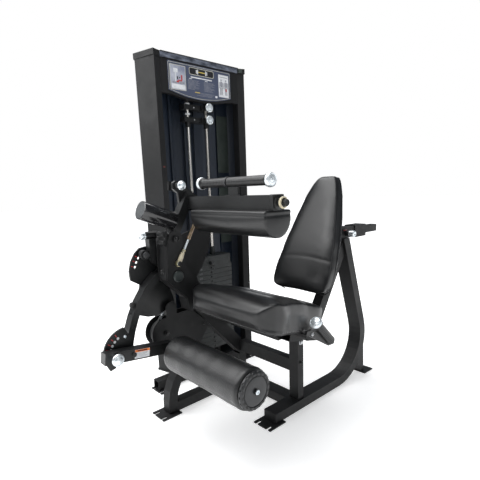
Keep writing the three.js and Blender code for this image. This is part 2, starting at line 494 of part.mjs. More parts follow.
// ---------- weight tower ----------
const colLine = [[-714, -127], [-598, -93], [-612, -55], [-655, -55]];
const mirrorY = (l) => l.map((p) => [p[0], 2 * TY - p[1]]);
const column = (side) => (side < 0 ? sheetZ(colLine, 4, 64 + GAP, TOWER_TOP - GAP)
  : sheetZ(mirrorY(colLine), -4, 64 + GAP, TOWER_TOP - GAP));
const planCap = [[-720, -131], [-594, -97], [-608, -55.5], [-608, 427.5], [-594, 469], [-720, 503], [-774, 450], [-774, -78]];
function towerCap() {
  const z1 = TOWER_TOP + 26;
  const inner = [[-716, -125], [-600, -92], [-613, -52], [-613, 424], [-600, 464], [-716, 497], [-769, 446], [-769, -74]];
  return cut(slab('Z', planCap, TOWER_TOP, z1), slab('Z', inner, TOWER_TOP - 5, z1 - 4));
}
function archLine() {
  const l = [[-54.7, 1472], [-16, 1473], [24, 1469], [66, 1461], [120, 1455], [186, 1453]];
  return [...l, ...l.slice(0, -1).reverse().map((p) => [2 * TY - p[0], p[1]])];
}
function towerHeader() {
  const l = archLine();
  const face = slab('X', [...l, [2 * TY + 54.7, TOWER_TOP - GAP], [-54.7, TOWER_TOP - GAP]], -616, -612);
  const flange = slab('X', [...l, ...offset(l, 4).reverse()], -636, -612);
  return join(face, flange);
}
function placard() {
  const c = 179, b = [[-16, 1490], [24, 1480], [80, 1469], [130, 1464], [c, 1462]];
  const line = [...b, ...b.slice(0, -1).reverse().map((p) => [2 * c - p[0], p[1]])];
  return slab('X', [...line, [2 * c + 16, 1616], [2 * c + 12, 1621], [-12, 1621], [-16, 1616]], -611.7, -609.7);
}
function rearShroud() {
  const h = [[-718, -126], [-748, -86], [-756, -10], [-746, 10], [-762, 90]];
  const l = [...h, ...mirrorY(h).reverse()];
  return sheetZ(l, -3, 64 + GAP, TOWER_TOP - GAP);
}
function towerBase() {
  const plan = [[-720, -131], [-594, -97], [-594, 469], [-720, 503], [-774, 450], [-774, -78]];
  const rail = tubeY(-640, -590, -205, 440, BASE_Z0, 56.5, 2.5);
  let s = join(slab('Z', plan, 56, 64), rail, foot(-606, -213, -113, 49, -1), foot(-606, 350, 450, 49, 1));
  for (const y of ROD_Y) s = join(s, barZ(TX, y, 60, 121.3, 22, 24));
  for (const y of ROD_Y) s = cut(s, barZ(TX, y, 64, 130, ROD_R + 0.8, 20));
  return s;
}
const guideRod = (i) => barZ(TX, ROD_Y[i], 64 + GAP, TOWER_TOP + 15, ROD_R, 24);
const plateHoles = (s, z0, z1) => cut(s, barZ(TX, ROD_Y[0], z0, z1, ROD_R + 1, 16),
  barZ(TX, ROD_Y[1], z0, z1, ROD_R + 1, 16), barZ(TX, SY, z0, z1, 12.5, 16));
function plateOutline(z0, z1) {
  const hl = 147, c = 8;
  return slab('Z', [[-706, SY - hl + c], [-706 + c, SY - hl], [-606 - c, SY - hl], [-606, SY - hl + c],
    [-606, SY + hl - c], [-606 - c, SY + hl], [-706 + c, SY + hl], [-706, SY + hl - c]], z0, z1);
}
const pinZ = (i) => STACK_TOP - PLATE * (i + 0.5);
function topPlate() {
  const z0 = STACK_TOP - PLATE + GAP;
  let s = plateHoles(plateOutline(z0, STACK_TOP), z0 - 5, STACK_TOP + 5);
  for (const y of ROD_Y) {
    s = join(s, cut(barZ(TX, y, STACK_TOP - 1, STACK_TOP + 46, 14, 24), barZ(TX, y, STACK_TOP - 5, STACK_TOP + 50, ROD_R + 1, 16)));
  }
  s = join(s, barZ(TX, SY, 150, STACK_TOP - 2, 11, 16), barZ(TX, SY, z0, STACK_TOP + 14, 20, 20),
    box(TX - 14, TX + 14, SY - 10, SY + 10, STACK_TOP + 10, STACK_TOP + 62));
  for (let i = 1; i <= 6; i++) s = cut(s, barX(SY, pinZ(i), TX - 20, TX + 14, 5.2, 6));
  return s;
}
function plateOne() {
  const z1 = STACK_TOP - PLATE, z0 = z1 - PLATE + GAP;
  return cut(plateHoles(plateOutline(z0, z1), z0 - 5, z1 + 5), barX(SY, pinZ(1), TX - 20, -600, 5.2, 12));
}
function stackLower() {
  const z1 = STACK_TOP - 2 * PLATE, z0 = z1 - LOWER_PLATES * PLATE + GAP;
  const g = 1.6, d = 2.2, front = [], rear = [];
  for (let i = 0; i < LOWER_PLATES; i++) {
    const a = z0 + i * PLATE, b = i === LOWER_PLATES - 1 ? z1 : a + PLATE;
    front.push([-606, a + (i ? g / 2 : 0)], [-606, b - (i < LOWER_PLATES - 1 ? g / 2 : 0)]);
    rear.push([-706, a + (i ? g / 2 : 0)], [-706, b - (i < LOWER_PLATES - 1 ? g / 2 : 0)]);
    if (i < LOWER_PLATES - 1) { front.push([-606 - d, b]); rear.push([-706 + d, b]); }
  }
  let s = plateHoles(slab('Y', [...front, ...rear.reverse()], SY - 147, SY + 147), z0 - 5, z1 + 5);
  for (let i = 2; i < 2 + LOWER_PLATES; i++) s = cut(s, barX(SY, pinZ(i), TX + 25, -600, 5.2, 6));
  return s;
}
const selectorPin = () => join(barX(SY, pinZ(1), TX - 16, -604, 4.2, 14),
  spin([[0, 0], [8, 0], [10, 3], [10, 16], [7, 20], [0, 21]], [-605.5, SY, pinZ(1)], [1, 0, 0], 20));
function addOn(z, collar) {
  let s = box(-684, -642, 88, 278, z - 12, z + 12);
  s = join(s, box(-643, -630, 190, 262, z - 12, z + 12));
  if (collar) for (const y of ROD_Y) s = join(s, barZ(TX, y, z - 36, z - 11, 14, 20));
  return cut(s, barZ(TX, ROD_Y[0], z - 60, z + 20, ROD_R + 1, 16), barZ(TX, ROD_Y[1], z - 60, z + 20, ROD_R + 1, 16));
}
const addOnKnob = (z) => spin([[0, 0], [8, 0], [8, 10], [18, 12], [22, 18], [22, 23], [16, 28], [0, 29]],
  [-630.4, 222, z], [1, 0, 0], 20);

// ---------- scene graph ----------
node('base_seat_side', seatBase(), FRAME);
node('seat_post', seatPost(), FRAME);
node('seat_beam', seatBeam(), FRAME);
node('seat_bracket_front', seatBracket(120), FRAME);
node('seat_bracket_rear', seatBracket(158 + 50), FRAME);
node('back_strut', backStrut(), FRAME);
node('back_sleeve', backSleeve(), FRAME);
node('seat_rail', seatRail(), FRAME);
node('cross_tube_raised', raisedCross(), FRAME);
node('cross_tube_ground', groundCross(), FRAME);
node('cross_tube_tower', groundCrossTower(), FRAME);
node('base_drive_side', driveBase(), FRAME);
node('diagonal_tube', diag(), FRAME);
node('side_rail', sideRail(), FRAME);
node('mid_post', midPost(), FRAME);
node('frame_spacer', frameSpacer(), FRAME);
node('pulley_guard_near', pulleyGuard(), FRAME);
node('pulley_guard_far', pulleyGuardFar(), FRAME);
node('drive_pulley', drivePulley(), RUBBER);
node('drive_belt', driveBelt(), BELT);
node('housing_near', housingNear(), FRAME);
node('housing_far', housingFar(), FRAME);
node('cam', cam(), IRON);
node('lever', lever(), FRAME);
node('start_pin', romPin(), CHROME);
node('ankle_arm', ankleArm(), FRAME);
node('ankle_pin', anklePin(), CHROME);
node('ankle_roller', rollerFoam(), VINYL);
node('roller_cap', rollerCap(), RUBBER);
node('thigh_arm', thighArm(), FRAME);
node('thigh_pin', thighPin(), CHROME);
node('counterweight', counterweight(), GLOSS);
node('thigh_pad', thighPad(), VINYL);
node('thigh_handlebar', handlebar(), RUBBER);
node('strut_rod', strutRod(), ZINC);
node('strut_body', strutBody(), STEEL);
node('back_pad', backPad(), VINYL);
node('back_board', backBoard(), BOARD);
node('back_slide', backSlide(), FRAME);
node('back_pin', backPin(), CHROME);
node('seat_pad', seatPad(), VINYL);
node('seat_board', seatBoard(), BOARD);
node('seat_handle_left', seatHandle(1), RUBBER);
node('seat_handle_right', seatHandle(-1), RUBBER);
node('tower_base', towerBase(), FRAME);
node('tower_column_front', column(-1), FRAME);
node('tower_column_rear', column(1), FRAME);
node('tower_cap', towerCap(), FRAME);
node('tower_header', towerHeader(), FRAME);
node('placard', placard(), SLATE);
node('rear_shroud', rearShroud(), SHROUD);
node('guide_rod_front', guideRod(0), CHROME);
node('guide_rod_rear', guideRod(1), CHROME);
node('stack_top_plate', topPlate(), IRON);
node('stack_plate_1', plateOne(), IRON);
node('stack_lower', stackLower(), IRON);
node('selector_pin', selectorPin(), STEEL);
node('add_on_upper', join(addOn(1430, false), addOnKnob(1430)), IRON);
node('add_on_lower', join(addOn(1370, true), addOnKnob(1370)), IRON);

export default root;
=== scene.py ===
"""Leg extension machine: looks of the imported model. Metres, +Z up."""
import math
import bpy
import bmesh
import numpy as np
from mathutils import Matrix, Vector


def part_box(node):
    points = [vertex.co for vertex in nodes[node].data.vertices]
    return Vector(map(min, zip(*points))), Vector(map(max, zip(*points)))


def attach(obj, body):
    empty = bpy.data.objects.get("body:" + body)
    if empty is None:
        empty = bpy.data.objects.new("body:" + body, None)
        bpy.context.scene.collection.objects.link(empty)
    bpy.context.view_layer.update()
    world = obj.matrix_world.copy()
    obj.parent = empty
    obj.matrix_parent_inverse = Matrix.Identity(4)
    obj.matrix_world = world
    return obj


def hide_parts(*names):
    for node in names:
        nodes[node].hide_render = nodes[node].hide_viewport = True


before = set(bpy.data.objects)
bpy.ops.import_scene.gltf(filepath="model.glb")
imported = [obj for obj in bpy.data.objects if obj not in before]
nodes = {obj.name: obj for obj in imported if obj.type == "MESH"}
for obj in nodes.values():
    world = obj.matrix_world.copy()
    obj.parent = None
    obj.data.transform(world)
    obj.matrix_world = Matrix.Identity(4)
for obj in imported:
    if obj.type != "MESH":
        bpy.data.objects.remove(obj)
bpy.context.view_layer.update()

scene = bpy.context.scene
ORIGIN = (-261.5, 116.54, 0.0)          # the row frame's origin in the model's own millimetres


def P(x, y, z):
    """A point of the model's own millimetres in the row frame, in metres."""
    return Vector(((x - ORIGIN[0]) / 1000, (y - ORIGIN[1]) / 1000, (z - ORIGIN[2]) / 1000))


EX = (1, 0, 0)                          # along the axles, towards the user's left


# ---------------------------------------- camera
# fitted to straight edges of the photograph; radians, metres of the row frame, millimetres of the film
CAM_YAW, CAM_PITCH, CAM_ROLL = 0.84057, 0.19804, -0.034858
CAM_AT = (1.3617, -1.2452, 1.0080)
CAM_LENS, CAM_SENSOR = 29.617, 36
CAM_SHIFT = (-0.001, 0.0608)


def camera():
    data = bpy.data.cameras.new("camera")
    cam = bpy.data.objects.new("camera", data)
    scene.collection.objects.link(cam)
    yaw, pitch, roll = CAM_YAW, CAM_PITCH, CAM_ROLL
    fwd = Vector((-math.sin(yaw) * math.cos(pitch), math.cos(yaw) * math.cos(pitch), -math.sin(pitch)))
    right = Vector((math.cos(yaw), math.sin(yaw), 0))
    up = right.cross(fwd)
    r = math.cos(roll) * right + math.sin(roll) * up
    u = -math.sin(roll) * right + math.cos(roll) * up
    m = Matrix((r, u, -fwd)).transposed().to_4x4()
    m.translation = Vector(CAM_AT)
    cam.matrix_world = m
    data.sensor_width, data.lens = CAM_SENSOR, CAM_LENS
    data.shift_x, data.shift_y = CAM_SHIFT
    data.clip_start, data.clip_end = 0.05, 60
    scene.camera = cam


camera()


# ---------------------------------------- materials
def _new(name):
    m = bpy.data.materials.new(name)
    m.use_nodes = True
    nt = m.node_tree
    return m, nt, nt.nodes["Principled BSDF"]


def _noise(nt, co, scale, detail=4.0, rough=0.55, stretch=None):
    if stretch:
        mp = nt.nodes.new("ShaderNodeMapping")
        mp.inputs["Scale"].default_value = stretch
        nt.links.new(co, mp.inputs["Vector"])
        co = mp.outputs["Vector"]
    n = nt.nodes.new("ShaderNodeTexNoise")
    n.inputs["Scale"].default_value = scale
    n.inputs["Detail"].default_value = detail
    n.inputs["Roughness"].default_value = rough
    nt.links.new(co, n.inputs["Vector"])
    return n.outputs["Fac"]


def _map(nt, v, a, b, c, d):
    """Maps v from the range a..b to the range c..d."""
    n = nt.nodes.new("ShaderNodeMapRange")
    for k, x in zip(("From Min", "From Max", "To Min", "To Max"), (a, b, c, d)):
        n.inputs[k].default_value = x
    nt.links.new(v, n.inputs["Value"])
    return n.outputs["Result"]


def _mix(nt, fac, a, b):
    n = nt.nodes.new("ShaderNodeMix")
    n.data_type = "RGBA"
    nt.links.new(fac, n.inputs["Factor"])
    for sock, v in ((n.inputs[6], a), (n.inputs[7], b)):
        if isinstance(v, tuple):
            sock.default_value = (*v, 1)
        else:
            nt.links.new(v, sock)
    return n.outputs[2]


def _times(nt, a, b):
    n = nt.nodes.new("ShaderNodeMath")
    n.operation = "MULTIPLY"
    nt.links.new(a, n.inputs[0])
    nt.links.new(b, n.inputs[1])
    return n.outputs[0]


def _bump(nt, h, strength, distance, prev=None):
    n = nt.nodes.new("ShaderNodeBump")
    n.inputs["Strength"].default_value = strength
    n.inputs["Distance"].default_value = distance
    nt.links.new(h, n.inputs["Height"])
    if prev is not None:
        nt.links.new(prev, n.inputs["Normal"])
    return n.outputs["Normal"]


DUST = (0.22, 0.225, 0.23)
PRINT_GRAIN = (900, 0.06, 0.0002)       # printed marks and labels
SMALL_GRAIN = (900, 0.08, 0.0002)       # small metal and nylon parts


def surface(name, low, high, rough, metal=0.0, mottle=60, grain=PRINT_GRAIN, spec=0.5, coat=0.0,
        coat_rough=0.15, wear=None, wear_amount=0.0, stretch=None, wave=None, dust=0.0, voronoi=None):
    """A finish that varies between low and high, with roughness between the two of rough, and fine grain.

    grain and voronoi are (noise scale, bump strength, bump distance in metres), and wave has its axis before
    those. wear scuffs a colour through, and dust greys the upper faces.
    """
    m, nt, p = _new(name)
    co = nt.nodes.new("ShaderNodeTexCoord").outputs["Object"]
    broad = _noise(nt, co, mottle, 5, 0.6, stretch)
    col = _mix(nt, _map(nt, broad, 0.35, 0.65, 0, 1), low, high)
    if wear:
        scuff = _noise(nt, co, 38, 6, 0.7, (1, 1, 0.35))
        mask = _map(nt, scuff, 0.62, 0.74, 0, wear_amount)
        col = _mix(nt, mask, col, wear)
    if dust:
        geo = nt.nodes.new("ShaderNodeNewGeometry")
        sep = nt.nodes.new("ShaderNodeSeparateXYZ")
        nt.links.new(geo.outputs["Normal"], sep.inputs[0])
        up = _map(nt, sep.outputs["Z"], 0.6, 1.0, 0, dust)
        up = _times(nt, up, _map(nt, _noise(nt, co, 22, 6), 0.3, 0.7, 0.35, 1))
        col = _mix(nt, up, col, DUST)
    nt.links.new(col, p.inputs["Base Color"])
    mid = _noise(nt, co, mottle * 4.3, 6, 0.65, stretch)
    nt.links.new(_map(nt, mid, 0.3, 0.7, rough[0], rough[1]), p.inputs["Roughness"])
    nor = _bump(nt, _noise(nt, co, grain[0], 3, 0.5, stretch), grain[1], grain[2])
    if voronoi:
        v = nt.nodes.new("ShaderNodeTexVoronoi")
        v.inputs["Scale"].default_value = voronoi[0]
        nt.links.new(co, v.inputs["Vector"])
        nor = _bump(nt, v.outputs["Distance"], voronoi[1], voronoi[2], nor)
    if wave:
        w = nt.nodes.new("ShaderNodeTexWave")
        w.bands_direction = wave[0]
        w.inputs["Scale"].default_value = wave[1]
        w.inputs["Distortion"].default_value = 0
        nt.links.new(co, w.inputs["Vector"])
        nor = _bump(nt, w.outputs["Fac"], wave[2], wave[3], nor)
    nt.links.new(nor, p.inputs["Normal"])
    p.inputs["Metallic"].default_value = metal
    p.inputs["Specular IOR Level"].default_value = spec
    p.inputs["Coat Weight"].default_value = coat
    p.inputs["Coat Roughness"].default_value = coat_rough
    return m


M = {
    # satin powder coat on the frame tubes and plates
    "frame": surface("powder_coat", (0.0078, 0.0080, 0.0084), (0.0130, 0.0133, 0.0140), (0.40, 0.56), mottle=4,
        grain=(1400, 0.22, 0.0003), wear=(0.045, 0.046, 0.048), wear_amount=0.3, dust=0.05, spec=0.25),
    "frame_dark": surface("powder_coat_dark", (0.0050, 0.0055, 0.0058), (0.0105, 0.0110, 0.0115), (0.30, 0.42),
        mottle=6, grain=(1400, 0.2, 0.0003), wear=(0.04, 0.04, 0.043), wear_amount=0.35, dust=0.03,
        spec=0.4),
    "vinyl": surface("vinyl", (0.0030, 0.0033, 0.0037), (0.0060, 0.0064, 0.0070), (0.30, 0.40), mottle=7,
        grain=(210, 0.05, 0.0004), voronoi=(250, 0.06, 0.0004)),
    "roller": surface("roller_vinyl", (0.0028, 0.0031, 0.0035), (0.0055, 0.0060, 0.0066), (0.32, 0.42),
        mottle=9, grain=(500, 0.2, 0.0004), voronoi=(260, 0.6, 0.0012), spec=0.6),
    "board": surface("pad_board", (0.012, 0.012, 0.013), (0.026, 0.026, 0.028), (0.5, 0.7), mottle=14,
        grain=(500, 0.3, 0.0005)),
    "grip": surface("grip_rubber", (0.0028, 0.0028, 0.0032), (0.0055, 0.0055, 0.006), (0.28, 0.4), mottle=16,
        grain=(1100, 0.35, 0.0004), wave=("X", 52, 0.18, 0.0005)),
    "grip_plain": surface("grip_rubber_plain", (0.003, 0.003, 0.0035), (0.006, 0.006, 0.0065), (0.32, 0.45),
        mottle=16, grain=(1100, 0.3, 0.0004)),
    "plastic": surface("black_plastic", (0.010, 0.011, 0.012), (0.018, 0.019, 0.021), (0.33, 0.46), mottle=12,
        grain=(1600, 0.15, 0.0003)),
    "belt": surface("belt", (0.010, 0.010, 0.010), (0.018, 0.018, 0.018), (0.6, 0.75), mottle=20,
        grain=(900, 0.4, 0.0004), wave=("Z", 90, 0.4, 0.0006)),
    "chrome": surface("chrome", (0.66, 0.72, 0.76), (0.86, 0.90, 0.92), (0.24, 0.36), metal=0.72, mottle=18,
        grain=(700, 0.03, 0.0002), stretch=(1, 1, 0.4)),
    "rod": surface("guide_rod_steel", (0.50, 0.47, 0.43), (0.72, 0.70, 0.66), (0.16, 0.30), metal=1.0,
        mottle=14, grain=(900, 0.05, 0.0002), stretch=(1, 1, 0.08)),
    "steel": surface("bright_steel", (0.42, 0.43, 0.44), (0.62, 0.63, 0.65), (0.2, 0.34), metal=1.0, mottle=24,
        grain=SMALL_GRAIN),
    "zinc": surface("yellow_zinc", (0.52, 0.46, 0.27), (0.68, 0.62, 0.42), (0.26, 0.4), metal=1.0,
        grain=SMALL_GRAIN),
    "cream": surface("cream_nylon", (0.50, 0.44, 0.30), (0.62, 0.56, 0.41), (0.35, 0.5), grain=SMALL_GRAIN),
    "bronze": surface("bronze_sleeve", (0.27, 0.19, 0.12), (0.42, 0.32, 0.22), (0.25, 0.4), metal=1.0,
        grain=SMALL_GRAIN),
    "gloss": surface("gloss_black", (0.004, 0.004, 0.005), (0.010, 0.010, 0.011), (0.14, 0.22), mottle=9,
        grain=(500, 0.05, 0.0002), coat=0.6, coat_rough=0.08),
    "end_grey": surface("sawn_end", (0.045, 0.05, 0.053), (0.085, 0.09, 0.094), (0.4, 0.55), mottle=40,
        grain=(800, 0.2, 0.0003)),
    "iron": surface("plate_paint", (0.008, 0.0105, 0.0105), (0.017, 0.021, 0.021), (0.36, 0.5), mottle=8,
        grain=(700, 0.3, 0.0004), wear=(0.07, 0.075, 0.08), wear_amount=0.35, dust=0.08, spec=0.4),
    "cap_green": surface("cap_disc", (0.012, 0.017, 0.017), (0.022, 0.029, 0.028), (0.3, 0.42), mottle=20,
        grain=(900, 0.15, 0.0003)),
    "shroud": surface("shroud_paint", (0.008, 0.014, 0.026), (0.022, 0.034, 0.056), (0.34, 0.5), mottle=2.2,
        grain=(1200, 0.15, 0.0003), stretch=(1, 1, 0.25)),
    "panel": surface("grey_green_panel", (0.024, 0.032, 0.029), (0.050, 0.062, 0.056), (0.4, 0.55), mottle=5,
        grain=(900, 0.15, 0.0003)),
    "capstrip": surface("weathered_strip", (0.030, 0.036, 0.052), (0.17, 0.19, 0.24), (0.4, 0.6), mottle=36,
        grain=(700, 0.3, 0.0004), stretch=(1, 0.6, 1.6)),
    "placard": surface("placard_print", (0.050, 0.062, 0.105), (0.074, 0.088, 0.138), (0.3, 0.42), mottle=3),
    "pale_line": surface("print_cream", (0.45, 0.44, 0.36), (0.6, 0.59, 0.5), (0.35, 0.45), mottle=50),
    "print_white": surface("print_white", (0.58, 0.6, 0.62), (0.74, 0.75, 0.77), (0.35, 0.45), mottle=50),
    "print_sky": surface("print_pale_blue", (0.20, 0.22, 0.30), (0.52, 0.54, 0.6), (0.35, 0.45), mottle=12),
    "print_grey": surface("print_grey", (0.20, 0.21, 0.24), (0.33, 0.34, 0.37), (0.35, 0.45), mottle=50),
    "print_black": surface("print_black", (0.008, 0.008, 0.01), (0.016, 0.016, 0.02), (0.3, 0.4), mottle=30),
    "red": surface("red_mark", (0.34, 0.02, 0.02), (0.50, 0.04, 0.035), (0.35, 0.5)),
    "dark_red": surface("dark_red_label", (0.07, 0.008, 0.008), (0.12, 0.016, 0.014), (0.35, 0.5)),
    "yellow": surface("print_yellow", (0.55, 0.42, 0.08), (0.68, 0.54, 0.14), (0.35, 0.5)),
    "orange": surface("orange_label", (0.80, 0.16, 0.012), (0.90, 0.24, 0.02), (0.35, 0.5)),
    "label": surface("label_paper", (0.66, 0.68, 0.70), (0.80, 0.81, 0.82), (0.4, 0.5)),
    "thread": surface("staple_wire", (0.22, 0.25, 0.30), (0.40, 0.44, 0.50), (0.3, 0.45), metal=0.6),
    "rubber": surface("foot_rubber", (0.012, 0.012, 0.012), (0.022, 0.022, 0.022), (0.65, 0.8), mottle=20,
        grain=(700, 0.3, 0.0004)),
}


def smooth(me, angle=32):
    for p in me.polygons:
        p.use_smooth = True
    me.set_sharp_from_angle(angle=math.radians(angle))


# ---------------------------------------- CAD nodes keep their shape
NODE_EDGE, SHEET_EDGE = 0.0012, 0.0006      # edge rounding in metres, less on the thin shroud
LOOK = {                                    # a node that isn't named here is "frame"
    "roller_cap": "plastic", "drive_pulley": "plastic", "drive_belt": "belt", "start_pin": "plastic",
    "ankle_pin": "chrome", "thigh_pin": "chrome", "back_pin": "chrome", "guide_rod_front": "rod",
    "guide_rod_rear": "rod", "selector_pin": "plastic", "strut_body": "bronze", "strut_rod": "zinc",
    "counterweight": "gloss", "stack_lower": "iron", "stack_plate_1": "iron", "stack_top_plate": "iron",
    "add_on_upper": "frame_dark", "add_on_lower": "frame_dark", "placard": "placard", "rear_shroud": "shroud",
    "thigh_handlebar": "grip_plain", "seat_handle_left": "grip_plain", "seat_handle_right": "grip_plain",
    "back_board": "board", "seat_board": "board", "lever": "frame_dark", "ankle_arm": "frame_dark",
    "cam": "frame_dark", "thigh_arm": "frame_dark",
}
for name, o in nodes.items():
    o.data.materials.clear()
    o.data.materials.append(M[LOOK.get(name, "frame")])
    smooth(o.data)
    if name not in ("placard", "drive_belt"):
        b = o.modifiers.new("edge", "BEVEL")
        b.width = SHEET_EDGE if name == "rear_shroud" else NODE_EDGE
        b.segments = 2
        b.limit_method = "ANGLE"
        b.angle_limit = math.radians(40)
        b.use_clamp_overlap = True
        b.harden_normals = False
        b.miter_outer = "MITER_ARC"
    wn = o.modifiers.new("normals", "WEIGHTED_NORMAL")
    wn.keep_sharp = True
    wn.weight = 90


# ---------------------------------------- piece builders (model millimetres in, metres out)
def link(name, me, look, body, angle=35):
    me.materials.clear()
    me.materials.append(M[look])
    smooth(me, angle)
    o = bpy.data.objects.new(name, me)
    scene.collection.objects.link(o)
    if body:
        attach(o, body)
    return o


def mesh_from(name, verts, faces):
    me = bpy.data.meshes.new(name)
    me.from_pydata([tuple(v) for v in verts], [], faces)
    me.validate()
    bm = bmesh.new()
    bm.from_mesh(me)
    bmesh.ops.recalc_face_normals(bm, faces=bm.faces)
    bm.to_mesh(me)
    bm.free()
    return me


def frame_of(axis):
    w = Vector(axis).normalized()
    u = w.orthogonal().normalized()
    return u, w.cross(u).normalized(), w


def lathe(name, profile, at, axis, look, body, n=40, angle=32):
    """profile is (radius, height) in mm, at is a point in the model's mm, height runs along axis."""
    u, v, w = frame_of(axis)
    c = P(*at)
    verts, faces = [], []
    for r, h in profile:
        for i in range(n):
            a = 2 * math.pi * i / n
            verts.append(c + (u * math.cos(a) + v * math.sin(a)) * (max(r, 0.01) / 1000) + w * (h / 1000))
    for k in range(len(profile) - 1):
        for i in range(n):
            j = (i + 1) % n
            faces.append((k * n + i, k * n + j, (k + 1) * n + j, (k + 1) * n + i))
    faces.append(tuple(range(n)))
    faces.append(tuple((len(profile) - 1) * n + i for i in range(n)))
    return link(name, mesh_from(name, verts, faces), look, body, angle)


def slab(name, verts, look, body, bevel):
    """A prism: the first half of the points is one end face and the second half the other. bevel is in mm."""
    n = len(verts) // 2
    faces = [tuple(range(n)), tuple(range(n, 2 * n))]
    faces += [(i, (i + 1) % n, n + (i + 1) % n, n + i) for i in range(n)]
    o = link(name, mesh_from(name, verts, faces), look, body)
    if bevel:
        m = o.modifiers.new("edge", "BEVEL")
        m.width, m.segments, m.limit_method = bevel / 1000, 2, "ANGLE"
    return o


def slab_x(name, outline, x0, x1, look, body, bevel=0.4):
    """An outline of (Y, Z) points between two X planes."""
    return slab(name, [P(x, y, z) for x in (x0, x1) for y, z in outline], look, body, bevel)


def slab_z(name, outline, z0, z1, look, body, bevel=0.4):
    """An outline of (X, Y) points between two Z planes."""
    return slab(name, [P(x, y, z) for z in (z0, z1) for x, y in outline], look, body, bevel)


def rounded(y0, y1, z0, z1, r, n=5):
    """The outline of a rectangle with corners of radius r, each in n steps."""
    out = []
    for cy, cz, a0 in ((y1 - r, z1 - r, 0), (y0 + r, z1 - r, 90), (y0 + r, z0 + r, 180), (y1 - r, z0 + r, 270)):
        for i in range(n + 1):
            a = math.radians(a0 + 90 * i / n)
            out.append((cy + r * math.cos(a), cz + r * math.sin(a)))
    return out


def tube(name, pts, r, look, body, n=12):
    """A round tube along points of the row frame, radius in mm."""
    pts = [Vector(p) for p in pts]
    m = len(pts)
    verts, faces, u = [], [], None
    for i, p in enumerate(pts):
        t = (pts[min(i + 1, m - 1)] - pts[max(i - 1, 0)]).normalized()
        u = (u - t * u.dot(t)).normalized() if u is not None else t.orthogonal().normalized()
        v = t.cross(u)
        for k in range(n):
            q = 2 * math.pi * k / n
            verts.append(p + (u * math.cos(q) + v * math.sin(q)) * (r / 1000))
    for i in range(m - 1):
        for k in range(n):
            j, l = i + 1, (k + 1) % n
            faces.append((i * n + k, i * n + l, j * n + l, j * n + k))
    faces += [tuple(range(n)), tuple((m - 1) * n + k for k in range(n))]
    return link(name, mesh_from(name, verts, faces), look, body, 60)


# ---------------------------------------- padded pieces
CLOTH_FRAMES = 20       # steps of the inflation
EVEN_ROUNDS = 60        # averaging of how far the cloth moved each point


def bake(o):
    dg = bpy.context.evaluated_depsgraph_get()
    me = bpy.data.meshes.new_from_object(o.evaluated_get(dg), depsgraph=dg)
    o.modifiers.clear()
    o.data = me
    return me


def get_co(me):
    co = np.zeros(len(me.vertices) * 3)
    me.vertices.foreach_get("co", co)
    return co.reshape(-1, 3)


def set_co(me, co):
    me.vertices.foreach_set("co", co.astype(np.float32).ravel())
    me.update()


def get_no(me):
    no = np.zeros(len(me.vertices) * 3)
    me.vertex_normals.foreach_get("vector", no)
    return no.reshape(-1, 3)


def relax(me, times, factor=0.5, weight=None):
    e = np.zeros(len(me.edges) * 2, int)
    me.edges.foreach_get("vertices", e)
    e = e.reshape(-1, 2)
    co = get_co(me)
    deg = np.bincount(e.ravel(), minlength=len(co))[:, None]
    w = factor if weight is None else factor * weight[:, None]
    for _ in range(times):
        s = np.zeros_like(co)
        for k in range(3):
            s[:, k] = np.bincount(e[:, 0], co[e[:, 1], k], len(co))
            s[:, k] += np.bincount(e[:, 1], co[e[:, 0], k], len(co))
        co += (s / np.maximum(deg, 1) - co) * w
    set_co(me, co)


def even_out(me, d, times):
    """Averages one value per point over its neighbours."""
    e = np.zeros(len(me.edges) * 2, int)
    me.edges.foreach_get("vertices", e)
    e = e.reshape(-1, 2)
    deg = np.bincount(e.ravel(), minlength=len(d))
    for _ in range(times):
        s = np.bincount(e[:, 0], d[e[:, 1]], len(d)) + np.bincount(e[:, 1], d[e[:, 0]], len(d))
        d = 0.5 * d + 0.5 * s / np.maximum(deg, 1)
    return d


def refit(me, lo, hi, axes=None):
    """Stretches the points to span lo..hi along each axis of the given frame, in metres."""
    q = np.eye(3) if axes is None else np.array(axes, float)
    co = get_co(me) @ q.T
    a, b = co.min(0), co.max(0)
    set_co(me, ((co - a) / (b - a) * (hi - lo) + lo) @ q)


def span(co, axes=None):
    q = np.eye(3) if axes is None else np.array(axes, float)
    c = co @ q.T
    return c.min(0), c.max(0)


